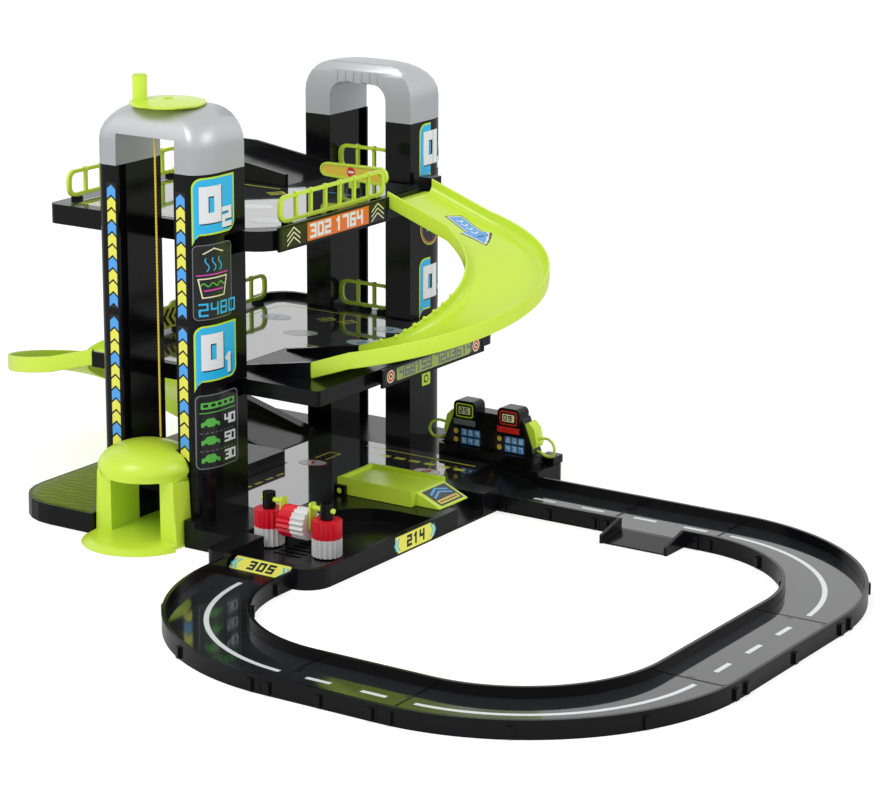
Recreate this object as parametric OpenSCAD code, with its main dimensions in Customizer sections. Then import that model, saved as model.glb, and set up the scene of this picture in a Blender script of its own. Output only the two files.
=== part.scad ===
// Toy parking garage: three storeys between two arched towers, a hand cranked
// car lift in the front tower, two U turn ramps, a car wash with three turning
// rollers, a pump station and a clip together road circuit.
// The origin is on the table, midway between the two towers. The lift faces -Y
// and the road circuit lies on the +X side.

/* [Storeys] */
// Height of the base platform above the table
base_h = 14.5; // [12:0.5:17]
// Underside of the middle storey above the table
deck_z = 98; // [94:1:104]
// Distance from one storey to the next
storey_h = 100; // [92:1:110]
// Thickness of the middle storey
middle_deck_t = 11; // [10:0.5:13]
// Thickness of the upper storey
upper_deck_t = 14; // [12:0.5:16]
// Thickness of a storey's top plate
plate_t = 2.4; // [1.8:0.1:3]
// Thickness of a storey's rim and ribs
rim_t = 2.2; // [1.6:0.1:3]

/* [Towers] */
// Half of the distance between the flat backs of the two towers
tower_back = 100; // [98:1:104]
// Depth of a tower from its flat back to its nose
tower_depth = 48; // [46:1:52]
// Half of the width of a tower
tower_half_w = 47; // [45:1:50]
// Half of the width of the flat nose
nose_half = 35.5; // [34:0.5:38]
// Half of the clear passage between two pillars
passage_half = 25; // [24:0.5:26]
// Wall of the hollow pillars
pillar_wall = 1.8; // [1.4:0.1:2.2]
// Height of the lower pillar joint above the table
seam_z = 52.5; // [46:0.5:60]
// Height of the top of the pillars above the table
tower_top = 256; // [250:1:262]
// Height of the tower caps
cap_h = 41; // [38:1:46]

/* [Lift] */
// Half of the outer width of the cab
cab_half_w = 33.5; // [31:0.5:35]
// Half of the width of the cab doorway
cab_door_half = 21.5; // [20:0.5:22]
// Height of the cab doorway
cab_door_h = 45; // [38:1:48]
// Radius of the cab's round roof
roof_r = 34; // [31:0.5:36]
// Radius of the drive-on apron in front of the cab
apron_r = 40; // [36:1:46]
// Diameter of the lift cord
cord_d = 1.7; // [1.2:0.1:2.4]
// Radius at which the cord winds on its drum
drum_r = 12; // [10:0.5:13]
// Radius of the crank disc
crank_r = 26; // [22:0.5:28]
// Diameter of the crank's upright peg
peg_d = 10; // [8:0.5:12]
// Height of the crank's peg above its disc
peg_h = 18; // [14:1:26]

/* [Ramps] */
// Outer width of a ramp
ramp_w = 59; // [56:1:62]
// Height of a ramp's side walls above its floor
ramp_wall_h = 9.4; // [8:0.2:12]
// Thickness of a ramp's floor and side walls
ramp_t = 1.8; // [1.4:0.1:2.4]
// Centre line radius of a ramp's U turn
ramp_r = 60; // [58:1:62]
// Straight run at the top of the front ramp
front_run = 50; // [44:1:58]
// Straight run at the top of the rear ramp
rear_run = 40; // [36:1:50]

/* [Road circuit] */
// Outer width of the road tiles
lane_w = 56; // [52:1:60]
// Outer radius of the corner tiles
corner_r = 155; // [145:1:165]
// Length of the long straight tile
long_tile = 135.2; // [120:1:150]
// Length of the short straight tiles
short_tile = 83.7; // [76:1:92]
// Height of the road surface above the table
road_z = 4.5; // [4:0.1:5.5]
// Height of the road's kerb walls above the table
kerb_h = 12; // [10:0.5:14]
// Thickness of the kerb walls
kerb_t = 2.4; // [1.8:0.1:3]

/* [Car wash] */
// Diameter of the two upright rollers
roller_d = 20.8; // [18:0.2:21.4]
// Height of the two upright rollers
roller_h = 25; // [20:0.5:27]
// Diameter of the hanging roller
top_roller_d = 22; // [18:0.5:22.5]
// Length of the hanging roller
top_roller_l = 22; // [18:0.5:22.4]
// Number of flutes round a roller
flutes = 18; // [12:1:24]
// Diameter of the posts inside the upright rollers
post_d = 6; // [5:0.5:8]

/* [Guard rails] */
// Height of a guard rail
rail_h = 19; // [15:1:22]
// Thickness of a guard rail
rail_t = 2.2; // [1.6:0.1:3]
// Width of a guard rail's bars
rail_bar = 2.4; // [1.8:0.1:3]

/* [Clearances] */
// Gap beside a pin or shaft that turns in a hole
pin_gap = 0.08; // [0.04:0.01:0.1]
// Gap between pieces that slide past each other
slide_gap = 0.5; // [0.3:0.05:0.8]
// Gap round pieces that are pushed together
fit_gap = 0.2; // [0.1:0.05:0.3]
// Gap under pieces that move close to another piece
run_gap = 0.3; // [0.2:0.05:0.5]

/* [Hidden] */
$fn = 64;

// Small overlap that lets a cut pass through a face
cut = 1;
// Overlap that fuses two shapes of one piece
fuse = 0.5;

// Heights of the storeys
deck_top = deck_z + middle_deck_t;
upper_z = deck_z + storey_h;
upper_top = upper_z + upper_deck_t;
upper_seam_z = seam_z + storey_h;
cap_top = tower_top + cap_h;

// Pillar plan, drawn for the right pillar of the front tower
nose_y = -(tower_back + tower_depth);
nose_round = 20;
flange_in = passage_half - 1;
flange_t = 2;
groove_x = passage_half + 4;
groove_w = 8.5;
groove_y0 = nose_y + flange_t;
groove_y1 = groove_y0 + groove_w;
// The storeys reach into notches in the pillars' outer backs
notch_in = groove_x + 1.3;
notch_depth = 23;
deck_reach = 4;
plug_h = 4;

// Storey plan
upper_left = -124;
upper_right = 67;
middle_left = -89;
middle_right = 110;
deck_front = -(tower_back + deck_reach);
deck_rear = tower_back + 18;
rear_rail_y = deck_rear - 7;
cell = 46;
ledge = 5;
ledge_t = 1.6;

// Ramps
front_lane_y = 70.2;
rear_lane_y = -72;
front_start_x = upper_right + fit_gap;
rear_start_x = middle_left - fit_gap;
front_end_x = 86;
rear_end_x = -96;
ramp_floor = 2.4;
front_start_z = upper_top - 3;
front_end_z = deck_top + ramp_floor;
rear_start_z = deck_z + ramp_floor + 0.2;
channel_z = 27.5;
rear_end_z = channel_z + 0.3;
front_land_y = front_lane_y - 2 * ramp_r;
rear_land_y = rear_lane_y + 2 * ramp_r;
dip_l = 34;

// Base plan
base_left = -115;
base_right = 167;
base_front = -170;
foot_front = -158;
wash_front = -189;
base_rear = 126;
base_rear_bump = 151;
base_skin = 2.2;
pit_half = 36;
pit_floor = 1.4;
wash_x0 = 76;
entry_x0 = 93;
road_y1 = 89.2;
road_y0 = road_y1 - lane_w;

// Road circuit, laid out from the base's side exit
lane_x0 = 93.5;
junction_tile = 81;
side_x0 = base_right + 0.5;
side_x1 = side_x0 + short_tile;
junction_x1 = side_x1 + junction_tile;
corner_cx = junction_x1;
corner_cy = road_y1 - corner_r;
low_cy = corner_cy - long_tile;
left_cx = lane_x0 + corner_r;
front_tile = corner_cx - left_cx;
tongue_l = 6;
tongue_w = 24;

// Car wash
post_left = [88, -131];
post_right = [136, -131];
wash_mid_x = (post_left[0] + post_right[0]) / 2;
wash_floor = road_z;
roller_z = wash_floor + 1;
post_top = 42;
frame_z = 37;
frame_drop = 12.5;
frame_pin_d = 3.6;
frame_arm_t = 1.6;
roller_bore = 4.4;

// Lift
shaft_x = 0;
shaft_y = nose_y + 26;
cord_y = shaft_y - drum_r - 3;
cab_front = nose_y - 18;
cab_rear = -(tower_back + 3);
cab_z = 0.5;
cab_floor_top = 4.5;
cab_side_half = flange_in - slide_gap;
roof_y = nose_y - 4;
roof_squash = 0.5;
roof_z0 = cab_door_h + 2;
roof_z = roof_z0 + 5;
roof_top = roof_z + roof_r * roof_squash;
winch_z = cap_top - 19.5;
winch_t = 2;
drum_z = winch_z + winch_t + run_gap;
drum_h = 9;
drum_flange_t = 1.4;
drum_flange_r = drum_r + 1.8;
shaft_d = 8;
square = 5;
guide_z0 = winch_z - 1;
core_r = drum_r - 1.5 * cord_d;
cap_wall = 2.2;

// Service ramp
service_x0 = 76;
service_x1 = 139;
service_y0 = -34.5;
service_y1 = 8.5;
service_tip = 159;
service_z = base_h + run_gap;
service_h = 9.5;
service_pin_d = 4;
service_pin_z = base_h + 3.2;
service_pin_x = service_x0 + 4;

// Barrier
barrier_x = 32;
barrier_y = 50;
barrier_l = 58;
barrier_w = 13;
barrier_pin_d = 4;

// Pump station
pump_x0 = 77;
pump_x1 = 160;
pump_y0 = 92;
pump_y1 = 110;
pump_mid = (pump_x0 + pump_x1) / 2;
// The station's ends slant from its foot to its heads
pump_foot_z = base_h + 8;
pump_wall_z = 50;
pump_toe = 2;
pump_top_in = 13;
hose_d = 2;
hose_y = pump_y0 + 12;
hose_top_z = 35;
hose_port_z = 25.5;
// Routes of the hoses from the middle of the station's foot
pump_half = (pump_x1 - pump_x0) / 2;
hose_route = [for (p = [[6.5, 0, 35], [4.5, 0, 35], [2, 0, 35], [-2, -0.5, 36.2], [-7, -1.5, 36.4], [-11.5, -2.5, 33.5],
    [-12.8, -3, 28.5], [-10, -2.5, 24.4], [-5, -1.5, 23.6], [-0.5, -0.5, 25], [3, 0, 25.5], [6, 0, 25.5], [9, 0, 25.5]])
    [p[0] - pump_half, p[1], p[2]]];

// The cord's way from its guide to the drum, from the middle of the drum's foot
lead_side = drum_r + 1.8;
lead_route = [[0, -drum_r - 3, -winch_t - run_gap], [0, -drum_r - 3, 1], [0.3, -drum_r - 2.9, 2.6], [1.5, -drum_r - 2.4, 3.9],
    [lead_side * sin(13.5), -lead_side * cos(13.5), 4.5], [lead_side * sin(21), -lead_side * cos(21), 4.5],
    [lead_side * sin(28), -lead_side * cos(28), 4.5]];

function unit(v) = v / norm(v);
function turn(a, b) = (b - a + 900) % 360 - 180;
function arc(c, r, a0, a1, n) = [for (i = [0 : n]) let (a = a0 + (a1 - a0) * i / n) c + r * [cos(a), sin(a)]];
function oval(c, rx, ry, a0, a1, n) =
    [for (i = [0 : n]) let (a = a0 + (a1 - a0) * i / n) c + [rx * cos(a), ry * sin(a)]];

// One rounded corner at p between the points a and b
function corner(p, a, b, r, n) =
    let (
        u = unit(a - p),
        v = unit(b - p),
        half = acos(u * v) / 2,
        c = p + unit(u + v) * r / sin(half),
        s = p + u * r / tan(half) - c,
        e = p + v * r / tan(half) - c,
        a0 = atan2(s[1], s[0]),
        da = turn(a0, atan2(e[1], e[0]))
    )
    arc(c, r, a0, a0 + da, n);

// An outline from points [x, y, corner radius]
function rounded(q, n = 6) =
    let (m = len(q))
    [for (i = [0 : m - 1]) let (p = [q[i][0], q[i][1]], a = q[(i + m - 1) % m], b = q[(i + 1) % m])
        each q[i][2] > 0 ? corner(p, [a[0], a[1]], [b[0], b[1]], q[i][2], n) : [p]];

module slab(points, z0, z1) {
    translate([0, 0, z0])
        linear_extrude(z1 - z0) polygon(points);
}

module block(x0, x1, y0, y1, z0, z1) {
    translate([x0, y0, z0]) cube([x1 - x0, y1 - y0, z1 - z0]);
}

// A prism along Y from an outline in X and Z
module prism_y(points, y0, y1) {
    translate([0, y1, 0]) rotate([90, 0, 0])
        linear_extrude(y1 - y0) polygon(points);
}

// A prism along X from an outline in Y and Z
module prism_x(points, x0, x1) {
    translate([x0, 0, 0]) rotate([90, 0, 90])
        linear_extrude(x1 - x0) polygon(points);
}

module rod(x, y, z0, z1, d) {
    translate([x, y, z0]) cylinder(h = z1 - z0, d = d);
}

module rod_x(x0, x1, y, z, d) {
    translate([x0, y, z]) rotate([0, 90, 0]) cylinder(h = x1 - x0, d = d);
}

module rod_y(x, y0, y1, z, d) {
    translate([x, y1, z]) rotate([90, 0, 0]) cylinder(h = y1 - y0, d = d);
}

// Open cells on the underside of a plate, left between ribs
module cells(x0, x1, y0, y1, z0, z1) {
    nx = max(1, floor((x1 - x0) / cell));
    ny = max(1, floor((y1 - y0) / cell));
    dx = (x1 - x0) / nx;
    dy = (y1 - y0) / ny;
    for (i = [0 : nx - 1], j = [0 : ny - 1])
        block(x0 + i * dx + rim_t / 2, x0 + (i + 1) * dx - rim_t / 2,
            y0 + j * dy + rim_t / 2, y0 + (j + 1) * dy - rim_t / 2, z0, z1);
}

// Pillars
function pillar_plan() = concat(
    [[passage_half, -tower_back], [tower_half_w, -tower_back]],
    oval([nose_half, nose_y + nose_round], tower_half_w - nose_half, nose_round, 0, -90, 8),
    [[flange_in, nose_y], [flange_in, groove_y0], [groove_x, groove_y0],
        [groove_x, groove_y1], [passage_half, groove_y1]]);

function pillar_hollow(t) = concat(
    [[passage_half + t, -tower_back - t], [tower_half_w - t, -tower_back - t]],
    oval([nose_half, nose_y + nose_round], tower_half_w - nose_half - t, nose_round - t, 0, -90, 8),
    [[groove_x + t, nose_y + t], [groove_x + t, groove_y1 + t], [passage_half + t, groove_y1 + t]]);

// Sets a piece drawn for the right pillar of the front tower in its place
module at_pillar(side, tower) {
    mirror([side < 0 ? 1 : 0, 0, 0]) mirror([0, tower < 0 ? 1 : 0, 0]) children();
}

module plug(z) {
    slab(pillar_hollow(pillar_wall + fit_gap), z - fuse, z + plug_h);
}

module pillar_foot(side, tower) {
    color([0.09, 0.09, 0.1]) at_pillar(side, tower) {
        difference() {
            slab(pillar_plan(), base_h, seam_z);
            slab(pillar_hollow(pillar_wall), base_h - cut, seam_z - pillar_wall);
        }
        plug(seam_z);
    }
}

// A pillar length that holds a storey in a notch
module pillar_length(side, tower, z0, z1, d0, d1) {
    color([0.09, 0.09, 0.1]) at_pillar(side, tower) {
        difference() {
            slab(pillar_plan(), z0, z1);
            slab(pillar_hollow(pillar_wall), z0 - cut, d0 - pillar_wall);
            slab(pillar_hollow(pillar_wall), d1 + pillar_wall + run_gap, z1 - pillar_wall);
            block(notch_in, tower_half_w + cut, -tower_back - notch_depth, -tower_back + cut,
                d0, d1 + run_gap);
        }
        plug(z1);
    }
}

module pillar_lower(side, tower) {
    pillar_length(side, tower, seam_z, upper_seam_z, deck_z, deck_top);
}

module pillar_upper(side, tower) {
    pillar_length(side, tower, upper_seam_z, tower_top, upper_z, upper_top);
}

module lift_pillar_left_foot() pillar_foot(-1, 1);
module lift_pillar_left_lower() pillar_lower(-1, 1);
module lift_pillar_left_upper() pillar_upper(-1, 1);
module lift_pillar_right_foot() pillar_foot(1, 1);
module lift_pillar_right_lower() pillar_lower(1, 1);
module lift_pillar_right_upper() pillar_upper(1, 1);
module rear_pillar_left_foot() pillar_foot(-1, -1);
module rear_pillar_left_lower() pillar_lower(-1, -1);
module rear_pillar_left_upper() pillar_upper(-1, -1);
module rear_pillar_right_foot() pillar_foot(1, -1);
module rear_pillar_right_lower() pillar_lower(1, -1);
module rear_pillar_right_upper() pillar_upper(1, -1);

// Caps: straight over the pillars, then a dome with a flat back
shoulder = 24;
shoulder_r = 25;
back_edge = 2.5;
dome_steps = 7;

// The tower's plan drawn inward by t, and with its nose corners rounder by g
function tower_plan(t, g = 0, back = 0) =
    let (rx = tower_half_w - nose_half + g * 0.35, ry = min(nose_round, tower_depth - t - back))
    concat(
        [[-tower_half_w + t, -tower_back - back], [tower_half_w - t, -tower_back - back]],
        oval([tower_half_w - t - rx, nose_y + t * 0.92 + ry], rx, ry, 0, -90, 8),
        oval([-tower_half_w + t + rx, nose_y + t * 0.92 + ry], rx, ry, -90, -180, 8));

// An upright outline with two round upper corners
function shoulder_profile(x0, x1, z0, z1, r) = concat(
    [[x0, z0], [x1, z0]],
    arc([x1 - r, z1 - r], r, 0, 90, 10),
    arc([x0 + r, z1 - r], r, 90, 180, 10));

// The outer skin of a cap, drawn inward by w
module cap_form(w) {
    hull() {
        slab(tower_plan(w, -w, w), tower_top - cut, tower_top);
        for (i = [0 : dome_steps]) let (a = 90 * i / dome_steps, inset = (shoulder_r - w) * (1 - cos(a)))
            slab(tower_plan(w + inset, inset - w, w + back_edge * (1 - cos(a))),
                cap_top - shoulder + (shoulder - w) * sin(a) - 0.01, cap_top - shoulder + (shoulder - w) * sin(a));
    }
}

module lift_cap() {
    color([0.72, 0.73, 0.75]) difference() {
        intersection() {
            cap_form(0);
            slab(tower_plan(-cut), tower_top, cap_top + cut);
        }
        // room for the winch above its plate
        intersection() {
            cap_form(cap_wall);
            slab(tower_plan(cap_wall), winch_z, cap_top + cut);
        }
        // hollow legs over the pillars
        for (side = [-1, 1]) at_pillar(side, 1)
            slab(pillar_hollow(pillar_wall), tower_top - cut, winch_z + fuse);
        // the lift shaft between the legs
        block(-passage_half, passage_half, nose_y - cut, -tower_back + cut, tower_top - cut, winch_z + fuse);
        rod(shaft_x, shaft_y, winch_z, cap_top + cut, shaft_d + 2 * pin_gap);
    }
}

module winch_plate() {
    color([0.6, 0.61, 0.63]) difference() {
        union() {
            block(-passage_half + fit_gap, passage_half - fit_gap, nose_y + cap_wall + 1.5,
                -tower_back - cap_wall - fit_gap, winch_z, winch_z + winch_t);
            // ears that rest on the legs' inner walls
            block(-passage_half - 6, passage_half + 6, shaft_y - 8, shaft_y + 8, winch_z, winch_z + winch_t);
        }
        rod(shaft_x, shaft_y, winch_z - cut, winch_z + winch_t + cut, square + 2 * pin_gap);
        rod(shaft_x, cord_y, winch_z - cut, winch_z + winch_t + cut, cord_d + 2.2);
    }
}

module arch_cap() {
    ribs = 6;
    opening_r = 12;
    opening_top = cap_top - 15;
    rib_pitch = 2 * passage_half / (ribs + 1);
    color([0.72, 0.73, 0.75]) mirror([0, 1, 0]) difference() {
        intersection() {
            cap_form(0);
            slab(tower_plan(-cut), tower_top, cap_top + cut);
        }
        // the arch
        prism_y(shoulder_profile(-passage_half, passage_half, tower_top - cut, opening_top, opening_r),
            nose_y - cut, -tower_back + cut);
        for (side = [-1, 1]) at_pillar(side, 1)
            slab(pillar_hollow(pillar_wall), tower_top - cut, cap_top - shoulder + 3);
        // shallow flutes across the brow
        for (i = [1 : ribs])
            block(-passage_half + i * rib_pitch - 0.6, -passage_half + i * rib_pitch + 0.6,
                -tower_back - 0.8, -tower_back + cut, opening_top, cap_top - 5);
    }
}

// Storeys
function deck_plan(x0, x1) = rounded([
    [x0, deck_front, 6], [x1, deck_front, 25], [x1, deck_rear, 8], [x0, deck_rear, 22]]);

function middle_plan() = rounded([
    [middle_left, deck_front, 2], [middle_right, deck_front, 3], [middle_right, deck_rear, 8],
    [middle_left, deck_rear, 22]]);

// Slots for the pillars' inner ribs and the open lift shaft at a storey's front
module pillar_slots(z0, z1) {
    for (side = [-1, 1])
        mirror([side < 0 ? 1 : 0, 0, 0])
            block(passage_half - fit_gap, notch_in + fit_gap, tower_back - fit_gap, deck_rear + cut, z0 - cut, z1 + cut);
    block(-notch_in - fit_gap, notch_in + fit_gap, deck_front - cut, -tower_back + fit_gap, z0 - cut, z1 + cut);
}

module rail_socket(x, y, z) {
    block(x - 3, x + 3, y - 3, y + 3, z - fuse, z + 2.5);
}

module rail_holes(x, y, z) {
    rod(x, y, z - 1, z + 2.5 + cut, 3);
}

// Places of the guard rails: start, length, number of openings, pegs
upper_left_rail_at = [upper_left + 8, -92, upper_top];
upper_left_rail_l = 127;
upper_front_rail_at = [upper_right - 5, -82, upper_top];
upper_front_rail_l = 126;
middle_left_rail_at = [middle_left + 8, -25, deck_top];
middle_left_rail_l = 119;
rear_rail_l = 2 * passage_half - 2 * slide_gap;

// Peg places along a rail of length l
function pegs(l) = [10, l / 2, l - 10];

module rail_seats_y(at, l) {
    for (s = pegs(l))
        rail_socket(at[0], at[1] + s, at[2]);
}

module rail_seat_holes_y(at, l) {
    for (s = pegs(l))
        rail_holes(at[0], at[1] + s, at[2]);
}

module rail_seats_x(z) {
    for (s = pegs(rear_rail_l))
        rail_socket(s - rear_rail_l / 2, rear_rail_y, z);
}

module rail_seat_holes_x(z) {
    for (s = pegs(rear_rail_l))
        rail_holes(s - rear_rail_l / 2, rear_rail_y, z);
}

module upper_deck() {
    kerb_h2 = 3;
    color([0.1, 0.1, 0.11]) difference() {
        union() {
            slab(deck_plan(upper_left, upper_right), upper_z, upper_top);
            rail_seats_y(upper_left_rail_at, upper_left_rail_l);
            rail_seats_y(upper_front_rail_at, upper_front_rail_l);
            rail_seats_x(upper_top);
            // low kerb behind the ramp's start
            block(upper_right - 14, upper_right - 2, front_lane_y + ramp_w / 2 + 2, deck_rear - 4,
                upper_top - fuse, upper_top + kerb_h2 * 2);
        }
        cells(upper_left + 26, upper_right - 26, -tower_back + 3, tower_back - 3, upper_z - cut, upper_top - plate_t);
        cells(upper_left + rim_t, upper_left + 26, -tower_back + 24, tower_back - 24, upper_z - cut, upper_top - plate_t);
        pillar_slots(upper_z, upper_top);
        rail_seat_holes_y(upper_left_rail_at, upper_left_rail_l);
        rail_seat_holes_y(upper_front_rail_at, upper_front_rail_l);
        rail_seat_holes_x(upper_top);
        rod(barrier_x, barrier_y, upper_top - plate_t - cut, upper_top + cut, barrier_pin_d + 3 + 2 * fit_gap);
        // ledge that carries the front ramp's lip
        block(upper_right - ledge, upper_right + cut, front_lane_y - ramp_w / 2 + 3,
            front_lane_y + ramp_w / 2 - 3, front_start_z - ledge_t, upper_top + cut);
    }
}

module middle_deck() {
    lane0 = rear_lane_y - ramp_w / 2 - fit_gap;
    lane1 = rear_lane_y + ramp_w / 2 + fit_gap;
    color([0.1, 0.1, 0.11]) difference() {
        union() {
            slab(middle_plan(), deck_z, deck_top);
            rail_seats_y(middle_left_rail_at, middle_left_rail_l);
            rail_seats_x(deck_top);
            // low wall round the rear left corner
            difference() {
                slab(middle_plan(), deck_top - fuse, deck_top + 4);
                translate([rim_t + 1, -rim_t - 1, 0]) slab(middle_plan(), deck_top - cut, deck_top + 4 + cut);
                block(middle_left - cut, middle_right + cut, deck_front - cut, tower_back - 14, deck_top - cut, deck_top + 4 + cut);
                block(-tower_half_w - 3, middle_right + cut, tower_back - 14 - cut, deck_rear + cut, deck_top - cut, deck_top + 4 + cut);
            }
        }
        cells(middle_left + dip_l + 6, middle_right - 4, -tower_back + 3, rear_lane_y + 38, deck_z - cut, deck_top - plate_t);
        cells(middle_left + rim_t, middle_right - 4, rear_lane_y + 40, tower_back - 24, deck_z - cut, deck_top - plate_t);
        pillar_slots(deck_z, deck_top);
        rail_seat_holes_y(middle_left_rail_at, middle_left_rail_l);
        rail_seat_holes_x(deck_top);
        // the lane dips to the rear ramp
        prism_y([[middle_left + dip_l, deck_top], [middle_left + dip_l, deck_top + cut],
            [middle_left - cut, deck_top + cut], [middle_left - cut, rear_start_z],
            [middle_left + ledge, rear_start_z]], lane0, lane1);
        block(middle_left - cut, middle_left + ledge, lane0 + 3, lane1 - 3, rear_start_z - ledge_t, rear_start_z + cut);
    }
}

// Channels that funnel a car onto or off a storey
channel_w = ramp_w + 2;

module channel_walls(y, x0, x1, z0, z1, h0, h1) {
    for (side = [-1, 1])
        prism_y([[x0, z0], [x1, z1], [x1, z1 + h1], [x0, z0 + h0]],
            y + side * (channel_w / 2 - ramp_t) - ramp_t, y + side * (channel_w / 2 - ramp_t) + ramp_t);
}

module base_channel() {
    foot_x = -22;
    color([0.1, 0.1, 0.11]) difference() {
        union() {
            prism_y([[rear_end_x, base_h], [foot_x, base_h], [foot_x, base_h + 0.4], [rear_end_x, channel_z]],
                rear_land_y - channel_w / 2, rear_land_y + channel_w / 2);
            channel_walls(rear_land_y, rear_end_x, foot_x - 6, channel_z - 2, base_h, 12, 4);
            // wide shoulder on the far wall
            prism_y([[rear_end_x, channel_z + 6], [-30, base_h + 2], [-30, base_h + 4.5], [rear_end_x, channel_z + 9]],
                rear_land_y + channel_w / 2 - fuse, rear_land_y + channel_w / 2 + 6);
        }
        // hollow underside
        prism_y([[rear_end_x + 3, base_h - cut], [foot_x - 24, base_h - cut], [rear_end_x + 3, channel_z - 5.5]],
            rear_land_y - channel_w / 2 + 4, rear_land_y + channel_w / 2 - 4);
        // ledge for the ramp's lip
        block(rear_end_x - cut, rear_end_x + ledge, rear_land_y - ramp_w / 2 + 3, rear_land_y + ramp_w / 2 - 3,
            rear_end_z - ledge_t - 1.2, channel_z + cut);
    }
}

module middle_channel() {
    x0 = 24;
    color([0.1, 0.1, 0.11]) {
        prism_y([[50, deck_top], [front_end_x - fit_gap, deck_top], [front_end_x - fit_gap, front_end_z - 0.3],
            [50, deck_top + 0.4]], front_land_y - channel_w / 2 + ramp_t, front_land_y + channel_w / 2 - ramp_t);
        channel_walls(front_land_y, x0, front_end_x - fit_gap, deck_top, deck_top, 1, 12);
    }
}

module upper_channel() {
    x0 = -104;
    x1 = -22;
    rise = 11;
    color([0.1, 0.1, 0.11]) {
        difference() {
            prism_y([[x0, upper_top], [x1, upper_top], [x1, upper_top + 0.4], [x0 + 12, upper_top + rise],
                [x0, upper_top + rise]], front_lane_y - channel_w / 2 + ramp_t, front_lane_y + channel_w / 2 - ramp_t);
            prism_y([[x0 + 3, upper_top - cut], [x1 - 28, upper_top - cut], [x0 + 14, upper_top + rise - 3],
                [x0 + 3, upper_top + rise - 3]], front_lane_y - channel_w / 2 + 5, front_lane_y + channel_w / 2 - 5);
        }
        // the far wall stops short of the pillar
        for (y = [[front_lane_y - channel_w / 2, front_lane_y - channel_w / 2 + 2 * ramp_t],
                [front_lane_y + channel_w / 2 - 2 * ramp_t, tower_back - run_gap]])
            prism_y([[x0, upper_top], [x1, upper_top], [x1, upper_top + 9], [x0 + 12, upper_top + rise + 8],
                [x0, upper_top + rise + 8]], y[0], y[1]);
    }
}

// Ramps: a U shaped section swept along a straight, a half turn and a straight
ramp_steps = 26;

// Places and headings along the ramp's centre line, starting at the origin along +X
function ramp_path(run, back) = concat(
    [for (i = [0 : 3]) [run * i / 4, 0, 0, run * i / 4]],
    [for (i = [0 : ramp_steps]) let (a = 180 * i / ramp_steps)
        [run + ramp_r * sin(a), -ramp_r + ramp_r * cos(a), -a, run + PI * ramp_r * i / ramp_steps]],
    [for (i = [1 : 4]) [run - back * i / 4, -2 * ramp_r, -180, run + PI * ramp_r + back * i / 4]]);

ramp_section = [
    [-ramp_w / 2, -ramp_floor], [ramp_w / 2, -ramp_floor], [ramp_w / 2, ramp_wall_h],
    [ramp_w / 2 - ramp_t, ramp_wall_h], [ramp_w / 2 - ramp_t, 0],
    [-ramp_w / 2 + ramp_t, 0], [-ramp_w / 2 + ramp_t, ramp_wall_h], [-ramp_w / 2, ramp_wall_h]];

module ramp_body(run, back, z0, z1) {
    path = ramp_path(run, back);
    n = len(path);
    m = len(ramp_section);
    total = path[n - 1][3];
    points = [for (p = path) let (h = z0 + (z1 - z0) * p[3] / total)
        for (q = ramp_section) [p[0] - q[0] * sin(p[2]), p[1] + q[0] * cos(p[2]), h + q[1]]];
    // the two ends are cut into three flat strips each
    strips = [[0, 1, 4, 5], [1, 2, 3, 4], [0, 5, 6, 7]];
    sides = [for (i = [0 : n - 2], j = [0 : m - 1]) let (k = (j + 1) % m)
        each [[i * m + j, (i + 1) * m + j, i * m + k], [i * m + k, (i + 1) * m + j, (i + 1) * m + k]]];
    first = [for (s = strips) each [[s[0], s[1], s[2]], [s[0], s[2], s[3]]]];
    last = [for (t = first) [(n - 1) * m + t[2], (n - 1) * m + t[1], (n - 1) * m + t[0]]];
    polyhedron(points, concat(sides, first, last), 8);
}

// A lip that rests in a ledge; x runs away from the ramp
module ramp_lip(z) {
    block(-fuse, ledge - run_gap, -ramp_w / 2 + 3 + fit_gap, ramp_w / 2 - 3 - fit_gap, z - ledge_t, z);
}

module front_ramp() {
    color([0.74, 0.88, 0.12]) {
        translate([front_start_x, front_lane_y, 0])
            ramp_body(front_run, front_start_x + front_run - front_end_x, front_start_z, front_end_z);
        translate([front_start_x, front_lane_y, 0]) mirror([1, 0, 0]) ramp_lip(front_start_z);
    }
}

module rear_ramp() {
    color([0.74, 0.88, 0.12]) {
        translate([rear_start_x, rear_lane_y, 0]) rotate([0, 0, 180])
            ramp_body(rear_run, rear_run - rear_start_x + rear_end_x, rear_start_z, rear_end_z);
        translate([rear_start_x, rear_lane_y, 0]) ramp_lip(rear_start_z);
        translate([rear_end_x, rear_land_y, 0]) ramp_lip(rear_end_z - 1.2);
    }
}

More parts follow.
